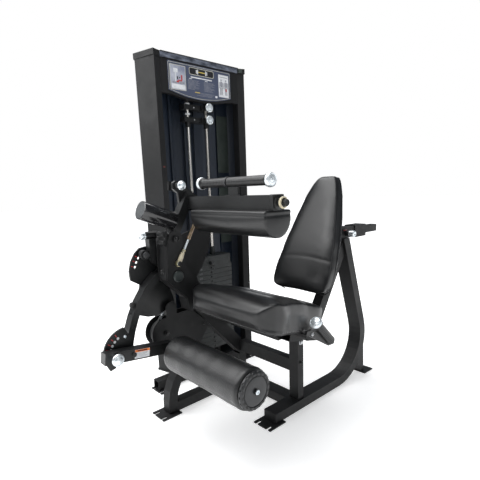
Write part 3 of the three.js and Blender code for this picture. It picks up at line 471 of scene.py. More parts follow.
def cushion(name, node, inset, cap, hold, voxel=0.005, pressure=4.0, rounds=14, settle=10, axes=None, swell=0.0):
    """A sewn pad over foam: the pad's solid, remeshed, rounded and drawn in, blown up as cloth, moved by the
    averaged result where hold is low, and stretched to the solid's own span plus swell. Lengths in metres.
    """
    me = nodes[node].data.copy()
    lo, hi = span(get_co(me), axes)
    me.materials.clear()
    o = bpy.data.objects.new(name, me)
    scene.collection.objects.link(o)
    r = o.modifiers.new("remesh", "REMESH")
    r.mode, r.voxel_size = "VOXEL", voxel
    me = bake(o)
    free = 1 - hold(get_co(me))
    relax(me, rounds, 0.5, np.clip(free + 0.25, 0, 1))
    set_co(me, get_co(me) - get_no(me) * inset * np.clip(free + 0.3, 0, 1)[:, None])
    start = get_co(me)
    free = 1 - hold(start)
    c = o.modifiers.new("cloth", "CLOTH")
    s = c.settings
    s.quality = 5
    s.mass = 0.3
    s.tension_stiffness = s.compression_stiffness = 18
    s.shear_stiffness = 8
    s.bending_stiffness = 8
    s.use_pressure = True
    s.uniform_pressure_force = pressure
    s.effector_weights.gravity = 0
    c.collision_settings.use_collision = False
    c.point_cache.frame_start, c.point_cache.frame_end = 1, CLOTH_FRAMES
    for f in range(1, CLOTH_FRAMES + 1):
        scene.frame_set(f)
    me = bake(o)
    scene.frame_set(1)
    co = get_co(me)
    set_co(me, start)
    no = get_no(me)
    d = np.clip(((co - start) * no).sum(1), -cap, cap) * free
    d = even_out(me, d, EVEN_ROUNDS)
    set_co(me, start + no * d[:, None])
    relax(me, settle, 0.5)
    sub = o.modifiers.new("sub", "SUBSURF")
    sub.levels = sub.render_levels = 1
    me = bake(o)
    me.materials.clear()
    refit(me, lo - swell, hi + swell, axes)
    return o, me


def finish_pad(o, me, look, body, node):
    me.materials.append(M[look])
    for p in me.polygons:
        p.use_smooth = True
    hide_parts(node)
    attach(o, body)


def groove(me, dist, depth, width, where=None):
    """Presses a sewn channel into the surface where dist, an array over the points, is near zero."""
    co, no = get_co(me), get_no(me)
    k = np.exp(-(dist / width) ** 2) * depth
    if where is not None:
        k = k * where
    set_co(me, co - no * k[:, None])


def in_mm(co):
    return co * 1000 + np.array(ORIGIN)


SLOPE = math.tan(math.radians(14.2))        # of the seat board, falling to the rear


def seat_under(y):
    """The height of the seat pad's underside at y, in the model's mm."""
    return 503 - SLOPE * (y + 120)


def smoothstep(x, a, b):
    t = np.clip((x - a) / (b - a), 0, 1)
    return t * t * (3 - 2 * t)


# seat pad: a front roll with a sewn crease behind it, side panels that pull in, flat on its board
def seat():
    def hold(co):
        q = in_mm(co)
        return 1 - smoothstep(q[:, 2] - seat_under(q[:, 1]), 4, 26)
    o, me = cushion("seat_cushion", "seat_pad", 0.003, 0.010, hold, 0.005, 4.0, 12, 6, None,
            np.array([0.004, 0.003, 0.001]))
    q = in_mm(get_co(me))
    up = get_no(me)[:, 2]
    # crease behind the front roll, bowed towards the back in the middle
    line = -88 - 60 * (np.abs(q[:, 0]) / 224) ** 2.6
    groove(me, q[:, 1] - line, 0.0030, 20, smoothstep(up, 0.15, 0.5))
    # the dished middle of the seat
    q = in_mm(get_co(me))
    dish = np.exp(-((q[:, 0] / 130) ** 2 + ((q[:, 1] - 40) / 110) ** 2)) * 0.004 * smoothstep(up, 0.5, 0.9)
    set_co(me, get_co(me) - np.stack([0 * dish, 0 * dish, dish], 1))
    # side panels: seam below the top edge, hollow panel under it
    q, no = in_mm(get_co(me)), get_no(me)
    side = smoothstep(np.abs(no[:, 0]), 0.45, 0.8) * smoothstep(q[:, 1], -150, -110)
    mid = np.exp(-((q[:, 2] - seat_under(q[:, 1]) - 48) / 26) ** 2)
    set_co(me, get_co(me) - no * (side * mid * 0.003)[:, None])
    # hem where the cover folds over the board
    q = in_mm(get_co(me))
    groove(me, q[:, 2] - seat_under(q[:, 1]) - 12, 0.0012, 7, 1 - smoothstep(np.abs(get_no(me)[:, 2]), 0.5, 0.8))
    finish_pad(o, me, "vinyl", "frame", "seat_pad")


# backrest pad: a faint channel across it and a hem round its rim, in the board's own directions
RECLINE = math.radians(24)
BACK_FOOT = (186, 604)                                          # (Y, Z) where w and n are 0
BW = np.array([math.sin(RECLINE), math.cos(RECLINE)])           # w, up along the board
BN = np.array([math.cos(RECLINE), -math.sin(RECLINE)])          # n, out through its back


def back_wn(q):
    d = q[:, 1:] - np.array(BACK_FOOT)
    return d @ BW, d @ BN


def back():
    def hold(co):
        return smoothstep(back_wn(in_mm(co))[1], 30, 50)
    o, me = cushion("back_cushion", "back_pad", 0.003, 0.010, hold, 0.005, 4.0, 14, 6,
            [[1, 0, 0], [0, *BW], [0, *BN]], np.array([0.004, 0.005, 0.001]))
    q, no = in_mm(get_co(me)), get_no(me)
    w = back_wn(q)[0]
    front = smoothstep(-(no[:, 1] * BN[0] + no[:, 2] * BN[1]), 0.5, 0.85)
    groove(me, w - 112 - 6 * np.cos(q[:, 0] / 60), 0.0009, 9, front)
    q, no = in_mm(get_co(me)), get_no(me)
    n = back_wn(q)[1]
    rim = 1 - smoothstep(np.abs(no[:, 1] * BN[0] + no[:, 2] * BN[1]), 0.6, 0.85)
    groove(me, n - 41, 0.0012, 7, rim)
    finish_pad(o, me, "vinyl", "backrest", "back_pad")


# thigh pad: rounded ends with a seam round each, and a hem where it meets the plate above it
def thigh():
    def hold(co):
        return smoothstep(in_mm(co)[:, 2], 922, 934)
    o, me = cushion("thigh_cushion", "thigh_pad", 0.002, 0.006, hold, 0.0045, 4.0, 6, 5, None,
            np.array([0.003, 0.003, 0.001]))
    q, no = in_mm(get_co(me)), get_no(me)
    endness = smoothstep(np.abs(no[:, 0]), 0.2, 0.5) * (1 - smoothstep(np.abs(no[:, 0]), 0.85, 0.97))
    groove(me, np.abs(np.abs(q[:, 0]) - 203), 0.0012, 6, smoothstep(endness, 0.2, 0.6))
    q, no = in_mm(get_co(me)), get_no(me)
    groove(me, q[:, 2] - 922, 0.0012, 6, 1 - smoothstep(np.abs(no[:, 2]), 0.5, 0.8))
    finish_pad(o, me, "vinyl", "thigh_hold", "thigh_pad")


# ankle roller: wrapped vinyl over a foam tube, seam along it and rolled edges at the ends
AXLE = (-312.43, 362.39)        # (Y, Z)


def roller():
    lo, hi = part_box("ankle_roller")
    c = (lo + hi) / 2
    R, x0, x1 = (hi.z - lo.z) / 2, lo.x, hi.x
    prof = [(0.014, 0.0), (0.050, 0.0), (0.056, -0.0005), (0.0595, 0.0015), (0.0600, 0.004), (0.0640, 0.0045),
            (0.0700, 0.0065), (0.0735, 0.011), (0.0748, 0.018)]
    L = x1 - x0
    line = list(prof)
    for i in range(1, 40):
        t = 0.018 + (L - 0.036) * i / 40
        line.append((R - 0.0002 - 0.0009 * math.cos(t * 38) ** 2, t))
    line += [(r, L - t) for r, t in reversed(prof)]
    n = 96
    verts, faces = [], []
    for r, t in line:
        for i in range(n):
            a = 2 * math.pi * i / n
            seam = 0.0016 * math.exp(-((math.degrees(a) - 205) / 2.6) ** 2) if r > 0.058 else 0
            wob = 0.0005 * math.sin(3 * a + t * 21) * (r > 0.07)
            rr = r - seam + wob - 0.0004
            verts.append((x0 + t, c.y + rr * math.cos(a), c.z + rr * math.sin(a)))
    for k in range(len(line) - 1):
        for i in range(n):
            j = (i + 1) % n
            faces.append((k * n + i, k * n + j, (k + 1) * n + j, (k + 1) * n + i))
    faces.append(tuple(range(n)))
    faces.append(tuple((len(line) - 1) * n + i for i in range(n)))
    me = mesh_from("roller_cover", verts, faces)
    o = bpy.data.objects.new("roller_cover", me)
    scene.collection.objects.link(o)
    me.materials.append(M["roller"])
    smooth(me, 50)
    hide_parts("ankle_roller")
    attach(o, "roller")


seat()
back()
thigh()
roller()


# ---------------------------------------- knobs, caps and bolts
def polar(c, r, deg):
    return c[0] + r * math.cos(math.radians(deg)), c[1] + r * math.sin(math.radians(deg))


# (Y, Z) of the lever's, the thigh hold's and the ankle arm's axes, and the way the ankle arm points
PIVOT, THIGH, ANKLE = (-256, 667), (-257, 822), (-472, 384)
ARM_DIR = (math.cos(math.radians(-7)), math.sin(math.radians(-7)))


def on_arm(u, v=0.0):
    """(Y, Z) at u along the ankle arm from its axis and v above it."""
    return ANKLE[0] + ARM_DIR[0] * u - ARM_DIR[1] * v, ANKLE[1] + ARM_DIR[1] * u + ARM_DIR[0] * v


def knob(name, at, axis, r, h, body, node, stem, reach):
    """A turned pull knob in a pin's place: stem, bell-shaped skirt, rim, and a face with a ring groove."""
    k = r / 24
    prof = [(stem, -reach), (stem, 0), (8 * k, 0.4), (9 * k, 3 * k), (10 * k, 7 * k), (13 * k, 11 * k),
            (18 * k, 14 * k), (22 * k, 16.5 * k), (24 * k, 20 * k), (24.2 * k, 22.5 * k), (23.6 * k, 25 * k),
            (22 * k, 27.5 * k), (19.5 * k, 29.6 * k), (18.6 * k, 29.6 * k), (17.8 * k, 29.2 * k),
            (17 * k, 30.2 * k), (13 * k, h - 3.2), (8 * k, h - 1.4), (6.6 * k, h - 1.6), (6 * k, h - 0.9),
            (3 * k, h - 0.3), (0, h)]
    o = lathe(name, prof, at, axis, "chrome", body, 48, 50)
    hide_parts(node)


knob("ankle_knob", (-277.4, *on_arm(-78)), EX, 24, 38, "ankle_pin", "ankle_pin", 5, 46.8)
knob("thigh_knob", (-283.7, *polar(THIGH, 217, 77)), EX, 19, 33, "thigh_pin", "thigh_pin", 5, 37.8)
o = lathe("back_knob", [(5, -26.8), (5, 0), (9, 0.3), (14, 2), (15, 5), (14.2, 7), (15, 9), (14.2, 11),
        (15, 13), (14.2, 15), (15, 17), (14.2, 19), (15, 21), (15, 25), (13.5, 28.5), (11, 30), (7, 30.4),
        (6, 29.6), (0, 29.4)], (45.3, 526, 785), EX, "chrome", "back_pin", 40, 50)
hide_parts("back_pin")
lathe("back_knob_seat", [(9, 0), (9, 15.5), (11.5, 15.6), (11.5, 20), (0, 20)], (29.6, 526, 785), EX, "steel",
        "frame", 6, 30)


def bolt(name, at, axis, r, body, look="steel", washer=True, socket=True, sides=6):
    """A hexagon or button head bolt on a washer."""
    if washer:
        lathe(name + "_washer", [(r * 1.45, 0), (r * 1.5, 0.4), (r * 1.5, 1.4), (r * 1.4, 1.8), (0, 1.8)], at,
                axis, "steel" if look == "steel" else "frame_dark", body, 28)
    w = Vector(axis).normalized()
    p = Vector(at) + w * (1.8 if washer else 0)
    if sides == 6:
        lathe(name, [(r * 1.08, 0), (r * 1.12, r * 0.12), (r * 1.12, r * 0.7), (r * 0.98, r * 0.86),
                (0, r * 0.9)], p, axis, look, body, 6, 25)
    else:
        prof = [(r, 0), (r, r * 0.2), (r * 0.94, r * 0.5), (r * 0.75, r * 0.78), (r * 0.5, r * 0.9)]
        prof += [(r * 0.46, r * 0.9), (r * 0.42, r * 0.5), (0, r * 0.48)] if socket else [(0, r * 0.96)]
        lathe(name, prof, p, axis, look, body, 28, 40)


# hand grips: ribbed rubber sleeves with chrome flared ends
FLARE_OUT = 2.2         # mm past the grip's end, which covers the end of the CAD handle


def flare(name, at, axis, body):
    lathe(name, [(17.2, 0), (17.8, 1.5), (18.6, 3), (19, 4), (22, 6.5), (24, 10), (24.6, 14), (24.2, 18),
            (22.4, 22), (20.6, 23.6), (19.4, 23.4), (18.6, 22.4), (11, 23.6), (9, 24.0), (8.2, 23.2),
            (6.6, 24.4), (3, 25.4), (0, 25.6)], Vector(at) + Vector(axis).normalized() * FLARE_OUT, axis,
            "chrome", body, 48, 50)


def sleeve(name, a, b, r, body, step=9.0):
    """A moulded grip: shallow rings along it, from a to b in the model's mm."""
    a, b = Vector(a), Vector(b)
    L, prof, t = (b - a).length, [(r - 1.0, 0), (r, 0.8)], 2.0
    while t < L - 4:
        prof += [(r + 0.25, t), (r + 0.45, t + step * 0.35), (r + 0.25, t + step * 0.72),
                (r - 0.25, t + step * 0.86)]
        t += step
    prof += [(r, L - 1.6), (r - 1.0, L)]
    prof = [(r0, h0) for r0, h0 in prof if h0 <= L]
    lathe(name, prof, a, b - a, "grip", body, 36, 60)


BAR = (-166, 1037)      # (Y, Z) of the handlebar
sleeve("bar_grip_right", (-170, *BAR), (-34, *BAR), 17.1, "thigh_hold")
sleeve("bar_grip_left", (-22, *BAR), (170, *BAR), 17.1, "thigh_hold")
lathe("bar_ring", [(17, 0), (19.6, 0.6), (20, 2), (20, 9), (19.6, 10.4), (17, 11)], (-34, *BAR), EX, "plastic",
        "thigh_hold", 40)
flare("bar_end_right", (-170.5, *BAR), (-1, 0, 0), "thigh_hold")
flare("bar_end_left", (170.5, *BAR), EX, "thigh_hold")
for s, side in ((1, "left"), (-1, "right")):
    b = Vector((s * 218, 143, 394))
    d = Vector((0, -0.7, 0.714))
    sleeve("seat_grip_" + side, b + d * 12, b + d * 130, 17.4, "frame")
    lathe("seat_grip_butt_" + side, [(0, 0), (12, 0), (16.6, 1.5), (18, 4.5), (18, 8.5), (16.5, 9.5)],
            b + d * 9, d, "plastic", "frame", 36)
    flare("seat_grip_end_" + side, b + d * 134, d, "frame")
    bolt("seat_strap_bolt_" + side, (s * 214, 22, 458), (s, 0, 0), 5, "frame", sides=16)
sleeve("start_grip", (-356, -342, 838), (-356, -292, 838), 15.5, "lever", 8)
lathe("start_grip_end", [(15.2, 0), (16.6, 1), (16.6, 4), (15.6, 5), (15.6, 12), (17.0, 13), (17.0, 19),
        (15, 21.6), (11, 22.4), (9, 21.4), (0, 21.2)], (-356, -344, 838), (0, -1, 0), "chrome", "lever", 40, 40)

# add-on weight knobs and rod collars
for z, body, tag in ((1430, "add_on_upper", "upper"), (1370, "add_on_lower", "lower")):
    o = lathe("add_on_knob_" + tag, [(8.4, 0), (8.4, 9), (13, 10.4), (18.5, 12), (22, 15.5), (22.6, 19),
            (22.2, 22.5), (20.4, 25), (17.5, 26.4), (16.8, 25.4), (15.8, 25), (9, 27.2), (7, 27.5), (6.2, 26.9),
            (4, 28.6), (0, 29.2)], (-627.6, 222, z), EX, "chrome", body, 48, 50)
    for y, inward in ((122, 26), (240, -26)):
        bolt("add_on_screw_%s_%d" % (tag, y), (-642, y + inward, z), EX, 3.6, body, "steel", False, True, 16)
for z, body in ((1394.5, "add_on_lower"), (1443, "add_on_upper")):
    lathe("rod_ring_%d" % z, [(9.6, 0), (13, 0.5), (13.6, 2), (13.6, 7), (13, 8.4), (9.6, 9)], (-664, 122, z),
            (0, 0, 1), "label", body, 32)

# end of the thigh hold's beam: cream washer between the collar block and the bolt
lathe("beam_washer", [(15, 0), (19.4, 0.4), (20, 1.6), (20, 6.2), (19.4, 7.6), (15, 8)], (224, -150, 963), EX,
        "cream", "thigh_hold", 40)
lathe("beam_bolt", [(10.8, 0), (12.4, 0.5), (12.4, 9.5), (11, 11.3), (5.8, 11.4), (5.2, 7.5), (0, 7.5)], (234,
        -150, 963), EX, "frame_dark", "thigh_hold", 6, 25)
slab_x("beam_block", rounded(-177, -123, 936, 990, 4), 190.2, 207, "frame_dark", "thigh_hold", 1.2)

# main pivot cover, thigh pivot bolt, bars and screws on the housing and the belt guard
lathe("pivot_cover", [(22.9, 0), (24, 0.8), (24, 5.4), (22.6, 7.6), (20.4, 9.2), (18, 9.7), (9, 10.1),
        (0, 10.2)], (-262, *PIVOT), EX, "cap_green", "frame", 48, 24)
bolt("thigh_pivot_bolt", (-253.5, *THIGH), EX, 9.5, "thigh_hold", "frame_dark", sides=16)
for y, z, r in ((-304.5, 842, 12.5), (-305.5, 808, 12.5)):
    tube("housing_bar_%d" % z, [P(-321.6, y + 7, z), P(-271, y + 7, z)], r, "frame", "frame", 28)
bolt("housing_screw", (-296, -307.4, 690), (0, -1, 0.06), 9, "frame", "frame_dark", sides=16)
bolt("guard_bolt", (-352, -275, 399), EX, 8.5, "frame", "frame_dark")
bolt("guard_bolt_low", (-357.6, -160, 276), EX, 5.5, "frame", "frame_dark", sides=16)
bolt("guard_bolt_top", (-357.6, -70, 392), EX, 5.5, "frame", "frame_dark", sides=16)

# ankle sector: bolt, marks and pale discs in its holes; cam: marks
bolt("sector_bolt", (-325, -484, 452), EX, 6.5, "lever", "chrome", sides=16)


def marks(name, centre, r0, r1, angles, x, look, body, w=1.7):
    """Radial bars, 2w wide and 0.35 thick, from r0 to r1 about centre, in one piece."""
    verts, faces = [], []
    for a in angles:
        c, s = math.cos(math.radians(a)), math.sin(math.radians(a))
        k = len(verts)
        for xx in (x, x + 0.35):
            for r, t in ((r0, -w), (r1, -w), (r1, w), (r0, w)):
                verts.append(P(xx, centre[0] + c * r - s * t, centre[1] + s * r + c * t))
        faces += [(k, k + 1, k + 2, k + 3), (k + 4, k + 5, k + 6, k + 7)]
        faces += [(k + i, k + (i + 1) % 4, k + 4 + (i + 1) % 4, k + 4 + i) for i in range(4)]
    return link(name, mesh_from(name, verts, faces), look, body)


marks("cam_marks", PIVOT, 142.5, 153, (144.1, 152.7, 161.3), -383.95, "red", "drive_cam")
marks("sector_marks", ANKLE, 86.5, 99, (121, 134, 147, 160, 173), -324.95, "red", "lever")
for i, a in enumerate((121, 134, 147, 160)):
    y, z = polar(ANKLE, 78, a)
    lathe("sector_bush_%d" % i, [(0, 0), (5.7, 0), (5.7, 1.6), (3.6, 1.6), (2.4, 0.6), (0, 0.5)], (-327, y, z),
            EX, "label", "lever", 24)
lathe("lever_bumper", [(5, -4), (5, 0), (11, 0.5), (12, 3), (12, 12), (10, 15.5), (6, 17), (0, 17.4)], (-356,
        -418, 560), (0, -0.9, 0.28), "rubber", "lever", 28, 45)
bolt("lever_bolt", (-334, -440, 475), EX, 5, "lever", "frame_dark", False, True, 16)

# ankle arm label: coloured head over a pale field with faint rows
def arm_label(name, u0, u1, v0, v1, x, look):
    pts = [on_arm(u0, v0), on_arm(u1, v0), on_arm(u1, v1), on_arm(u0, v1)]
    return slab_x(name, pts, x, x + 0.3, look, "ankle_arm", 0)


arm_label("label_field", 3, 68, -17.5, 18, -280, "label")
arm_label("label_head", 3.6, 67.4, 8, 17.4, -279.75, "orange")
arm_label("label_head_band", 14, 57, 10.2, 15.4, -279.6, "dark_red")
for i in range(5):
    arm_label("label_row_%d" % i, 8, 62 - (i * 7) % 17, 3.4 - i * 4.2, 4.6 - i * 4.2, -279.75, "print_grey")

# thigh strut: cream clevis, lock nut, bright rod, bronze sleeve
SA, SB = Vector((-254.5, -255, 721)), Vector((-254.5, -142, 915))
SD = (SB - SA).normalized()
lathe("strut_clevis", [(6, 4), (9.0, 4.6), (9.6, 8), (9.6, 34), (8.6, 38), (7.6, 40), (7.6, 48), (6.4, 51),
        (4.6, 52)], SA, SD, "cream", "strut_rod", 8, 25)
lathe("strut_nut", [(4.4, 53), (7.4, 53.3), (7.8, 55), (7.8, 60), (7.2, 62), (4.4, 62.4)], SA, SD, "zinc",
        "strut_rod", 6, 25)
lathe("strut_shaft", [(4.6, 50), (4.7, 52), (4.7, 158), (3.5, 160), (0, 160)], SA, SD, "chrome", "strut_rod", 28)
lathe("strut_ring", [(7.1, 108.5), (8.0, 109), (8.2, 111), (8.2, 117), (7.4, 118.6), (7.1, 119)], SA, SD,
        "bronze", "strut_body", 28)
lathe("strut_stud", [(6.6, 0), (9.6, 0.4), (10.2, 2), (10.2, 5.4), (9, 8), (6, 9.6), (0, 10.2)], (-249.6, SA.y,
        SA.z), EX, "chrome", "frame", 32, 40)

# roller end: disc, ring of pockets, centre bolt; collar at the other end
lathe("roller_disc", [(12.2, 9.1), (49, 9.1), (50.4, 9.8), (50.2, 11.4), (48, 12.2), (30, 12.7), (14.5, 12.7),
        (12.8, 12.2), (12.2, 11)], (232, *AXLE), EX, "plastic", "roller", 56, 20)
for i in range(18):
    a = math.radians(20 * i + 4)
    pts = [(AXLE[0] + r * math.cos(a + k), AXLE[1] + r * math.sin(a + k))
           for r, k in ((53, -0.085), (62, -0.07), (62, 0.07), (53, 0.085))]
    slab_x("roller_pocket_%02d" % i, pts, 243.0, 244.9, "belt", "roller", 0.4)
lathe("roller_bolt", [(8.8, 0), (9.2, 1), (9.2, 3.4), (8, 4.6), (4.2, 4.8), (3.8, 2.2), (0, 2.2)], (249.2,
        *AXLE), EX, "chrome", "ankle_arm", 6, 25)
lathe("roller_collar", [(19.4, 0), (24, 0.6), (25, 2.5), (25, 12.5), (24, 14.6), (19.4, 15)], (-235.5, *AXLE),
        EX, "frame_dark", "ankle_arm", 40)

# counterweight: turned bar with a sawn end face
WD = (0, -math.cos(math.radians(20)), math.sin(math.radians(20)))
o = lathe("weight_bar", [(0, 5.2), (37.2, 5.2), (37.5, 6), (37.5, 156), (36.4, 158.6), (34.6, 159.6),
        (0, 159.7)], (-296, -236, 890), WD, "gloss", "thigh_hold", 72, 30)
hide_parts("counterweight")
lathe("weight_end", [(0, 159.5), (34.0, 159.5), (34.0, 160.0), (20, 160.1), (0, 160.1)], (-296, -236, 890), WD,
        "end_grey", "thigh_hold", 56, 30)

# belt end fitting
tube("belt_fitting", [P(-389, -262, 487), P(-389, -284, 458)], 5.2, "chrome", "frame", 20)
for t, r in ((0.1, 8.2), (0.62, 7.6)):
    c = Vector((-389, -262 - 22 * t, 487 - 29 * t))
    lathe("belt_nut_%d" % int(t * 100), [(5.2, 0), (r, 0.4), (r, 6), (5.2, 6.4)], c, (0, -0.604, -0.797),
            "steel", "frame", 6, 25)

# weight plates: grey tags with plain marks in place of numbers, and the cord of the selector pin
PLATE_TOP, PLATE_PITCH, PLATES_LIFTED = 655, 25.4, 2
for i in range(9):
    z = PLATE_TOP - PLATE_PITCH * (i + 0.5)
    body = "lifted_stack" if i < PLATES_LIFTED else "frame"
    slab_x("plate_tag_%02d" % i, rounded(101, 121, z - 4.6, z + 4.6, 2.5, 3), -606.0, -605.6, "end_grey", body, 0)
    slab_x("plate_mark_%02d" % i, rounded(106, 109.5, z - 2.6, z + 2.6, 0.8, 2), -605.7, -605.45, "print_black",
            body, 0)
    if i % 2:
        slab_x("plate_mark_b_%02d" % i, rounded(111.5, 116, z - 2.6, z + 2.6, 1.5, 3), -605.7, -605.45,
                "print_black", body, 0)
tube("selector_lanyard", [P(-590, 183, 617)
        + Vector((0.004 * math.sin(t * 6.28), 0.010 * t, -0.035 * math.sin(3.14 * t)))
        for t in np.linspace(0, 1, 16)], 1.6, "plastic", "selector_pin", 8)

# labels on the frame
slab_x("sleeve_label", [(499, 799), (528, 797), (528, 804), (499, 806)], 30, 30.3, "dark_red", "frame", 0)
n = Vector((38, 14, 0)).normalized()
q = [Vector((-602.4, -81, 1126)), Vector((-607.9, -66, 1126)), Vector((-607.9, -66, 1134)),
     Vector((-602.4, -81, 1134))]
link("column_label", mesh_from("column_label", [P(*(p + n * k)) for k in (0.1, 0.5) for p in q],
     [(0, 1, 2, 3), (4, 5, 6, 7), (0, 1, 5, 4), (1, 2, 6, 5), (2, 3, 7, 6), (3, 0, 4, 7)]), "dark_red", "frame")
bolt("seat_post_bolt", (26, 180, 328), EX, 8, "frame")
bolt("seat_post_bolt_low", (26, 180, 232), EX, 6, "frame", "frame_dark", sides=16)

# ---------------------------------------- placard print: generic picture, mark, rows, chart
PX = -609.7             # X of the placard's face


def print_box(name, y0, y1, z0, z1, look, lift, r=0.0):
    """A flat printed patch that stands lift mm off the placard, with corners of radius r."""
    pts = rounded(y0, y1, z0, z1, r, 4) if r else [(y0, z0), (y1, z0), (y1, z1), (y0, z1)]
    return slab_x(name, pts, PX - 0.05, PX + lift, look, "frame", 0)


def print_frame(name, pts, w, look, lift=0.3):
    """A flat closed line of width w inside the points of (Y, Z)."""
    n = len(pts)
    verts, faces = [], []
    c = Vector((sum(p[0] for p in pts) / n, sum(p[1] for p in pts) / n))
    for k, (y, z) in enumerate(pts):
        a, b = Vector(pts[(k - 1) % n]), Vector(pts[(k + 1) % n])
        t = (b - a).normalized()
        m = Vector((t.y, -t.x))
        if m.dot(Vector((y, z)) - c) > 0:
            m = -m
        for s in (0, w):
            verts.append(P(PX + lift, y + m.x * s, z + m.y * s))
        for s in (0, w):
            verts.append(P(PX - 0.05, y + m.x * s, z + m.y * s))
    for k in range(n):
        a, b = 4 * k, 4 * ((k + 1) % n)
        faces += [(a, a + 1, b + 1, b), (a + 2, a + 3, b + 3, b + 2), (a, a + 2, b + 2, b),
                (a + 1, a + 3, b + 3, b + 1)]
    return link(name, mesh_from(name, verts, faces), look, "frame")


arch = [(-12, 1493), (24, 1484), (80, 1473), (130, 1468), (179, 1466)]
arch += [(358 - y, z) for y, z in reversed(arch[:-1])]
print_frame("placard_border", arch + [(371, 1612), (366, 1617), (-8, 1617), (-13, 1612)], 1.6, "pale_line")
print_box("picture_edge", -5, 86, 1494, 1607, "pale_line", 0.3, 3)
print_box("picture_field", -2.5, 83.5, 1496.5, 1604.5, "print_sky", 0.5, 2)
for i, (y0, y1, z0, z1, look) in enumerate((
        (2, 80, 1499, 1520, "print_white"), (8, 34, 1522, 1530, "print_grey"), (44, 76, 1524, 1533, "print_grey"),
        (24, 30, 1530, 1572, "print_white"), (16, 40, 1572, 1590, "print_white"), (40, 64, 1535, 1541, "red"),
        (58, 66, 1541, 1564, "red"), (30, 46, 1528, 1535, "red"), (34, 40, 1541, 1556, "print_black"),
        (46, 52, 1548, 1554, "print_black"))):
    print_box("picture_shape_%d" % i, y0, y1, z0, z1, look, 0.7, 2.5)
print_box("mark_edge", 108, 262, 1576, 1610, "pale_line", 0.3, 9)
print_box("mark_field", 110.5, 259.5, 1578.5, 1607.5, "print_black", 0.5, 7.5)
for i, (y0, y1, z0, z1, look) in enumerate(((150, 155, 1585, 1601, "print_white"),
        (157, 163, 1582, 1604, "print_white"),
        (163, 207, 1591, 1595, "yellow"),
        (207, 213, 1582, 1604, "print_white"),
        (215, 220, 1585, 1601, "print_white"))):
    print_box("mark_shape_%d" % i, y0, y1, z0, z1, look, 0.7, 1.2)
print_box("title_bar", 116, 250, 1562, 1567, "print_white", 0.3, 2)
ROWS_A, ROWS_B = (66, 60, 72, 58, 70, 48, 68, 62, 40), (62, 70, 56, 68, 44, 66, 72, 52, 60)
for i, (wa, wb) in enumerate(zip(ROWS_A, ROWS_B)):
    z0, z1 = 1549 - 5.2 * i, 1550.4 - 5.2 * i
    print_box("row_a_%d" % i, 98, 98 + wa, z0, z1, "print_grey", 0.3)
    print_box("row_b_%d" % i, 196, 196 + wb, z0, z1, "print_grey", 0.3)
print_box("row_head_a", 106, 124, 1555, 1557.5, "print_white", 0.3)
print_box("row_head_b", 204, 222, 1555, 1557.5, "print_white", 0.3)
print_box("foot_bar", 138, 170, 1494, 1498, "yellow", 0.3, 1.5)
for i in range(3):
    print_box("foot_row_%d" % i, 172 - 22 * (i == 2), 262 - 8 * i, 1494.5 - 6 * i, 1496 - 6 * i, "print_grey",
            0.3)
print_box("foot_badge", 268, 282, 1484, 1494, "print_white", 0.3, 2)
print_box("chart_field", 293, 361, 1493, 1603, "print_white", 0.3, 1.5)
for i, y in enumerate((311, 343)):
    print_box("chart_head_%d" % i, y - 4, y + 4, 1572, 1581, "print_grey", 0.5, 3.5)
    print_box("chart_body_%d" % i, y - 8.5, y + 8.5, 1543, 1570, "print_grey", 0.5, 5)
    for k in (-1, 1):
        print_box("chart_leg_%d_%d" % (i, k), y + k * 4.6 - 3.2, y + k * 4.6 + 3.2, 1504, 1542, "print_grey",
                0.5, 2.5)
        print_box("chart_arm_%d_%d" % (i, k), y + k * 12 - 2, y + k * 12 + 2, 1537, 1566, "print_grey", 0.5, 1.8)
print_box("chart_red", 339.5, 346.5, 1522, 1538, "red", 0.7, 3)
print_box("chart_head_row", 300, 354, 1590, 1593, "print_grey", 0.5, 1)

# ---------------------------------------- tower: cap strips, rear panels and ribs, rivets
slab_x("cap_strip", [(-54, 1628.5), (426, 1628.5), (426, 1651.5), (-54, 1651.5)], -608, -607.2, "capstrip",
        "frame", 0.2)
slab_x("cap_strip_end", [(429, 1630), (452, 1630), (452, 1650), (429, 1650)], -608.5, -596, "panel", "frame", 0.2)
slab_z("cap_trim", [(-607.5, -55), (-607.5, 427), (-600, 427), (-600, -55)], 1651.4, 1653.4, "frame_dark",
        "frame", 0.4)
for k, (y0, y1, z0, z1) in enumerate(((372, 452, 1110, 1425), (372, 452, 700, 1085), (-40, 8, 700, 1380))):
    slab_x("shroud_panel_%d" % k, rounded(y0, y1, z0, z1, 6), -742, -738.6, "panel", "frame", 0.8)
for k, (y, w) in enumerate(((60, 16), (150, 10), (214, 10), (300, 16))):
    slab_x("shroud_rib_%d" % k, [(y, 70), (y + w, 70), (y + w, 1620), (y, 1620)], -752, -744, "shroud", "frame",
            1.5)
for y in (-40, 20, 350, 410):
    bolt("header_rivet_%d" % y, (-612, y + (0 if y > 0 else -4), 1640 - 24 * 0.75), EX, 2.2, "frame",
            "frame_dark", False, False, 16)

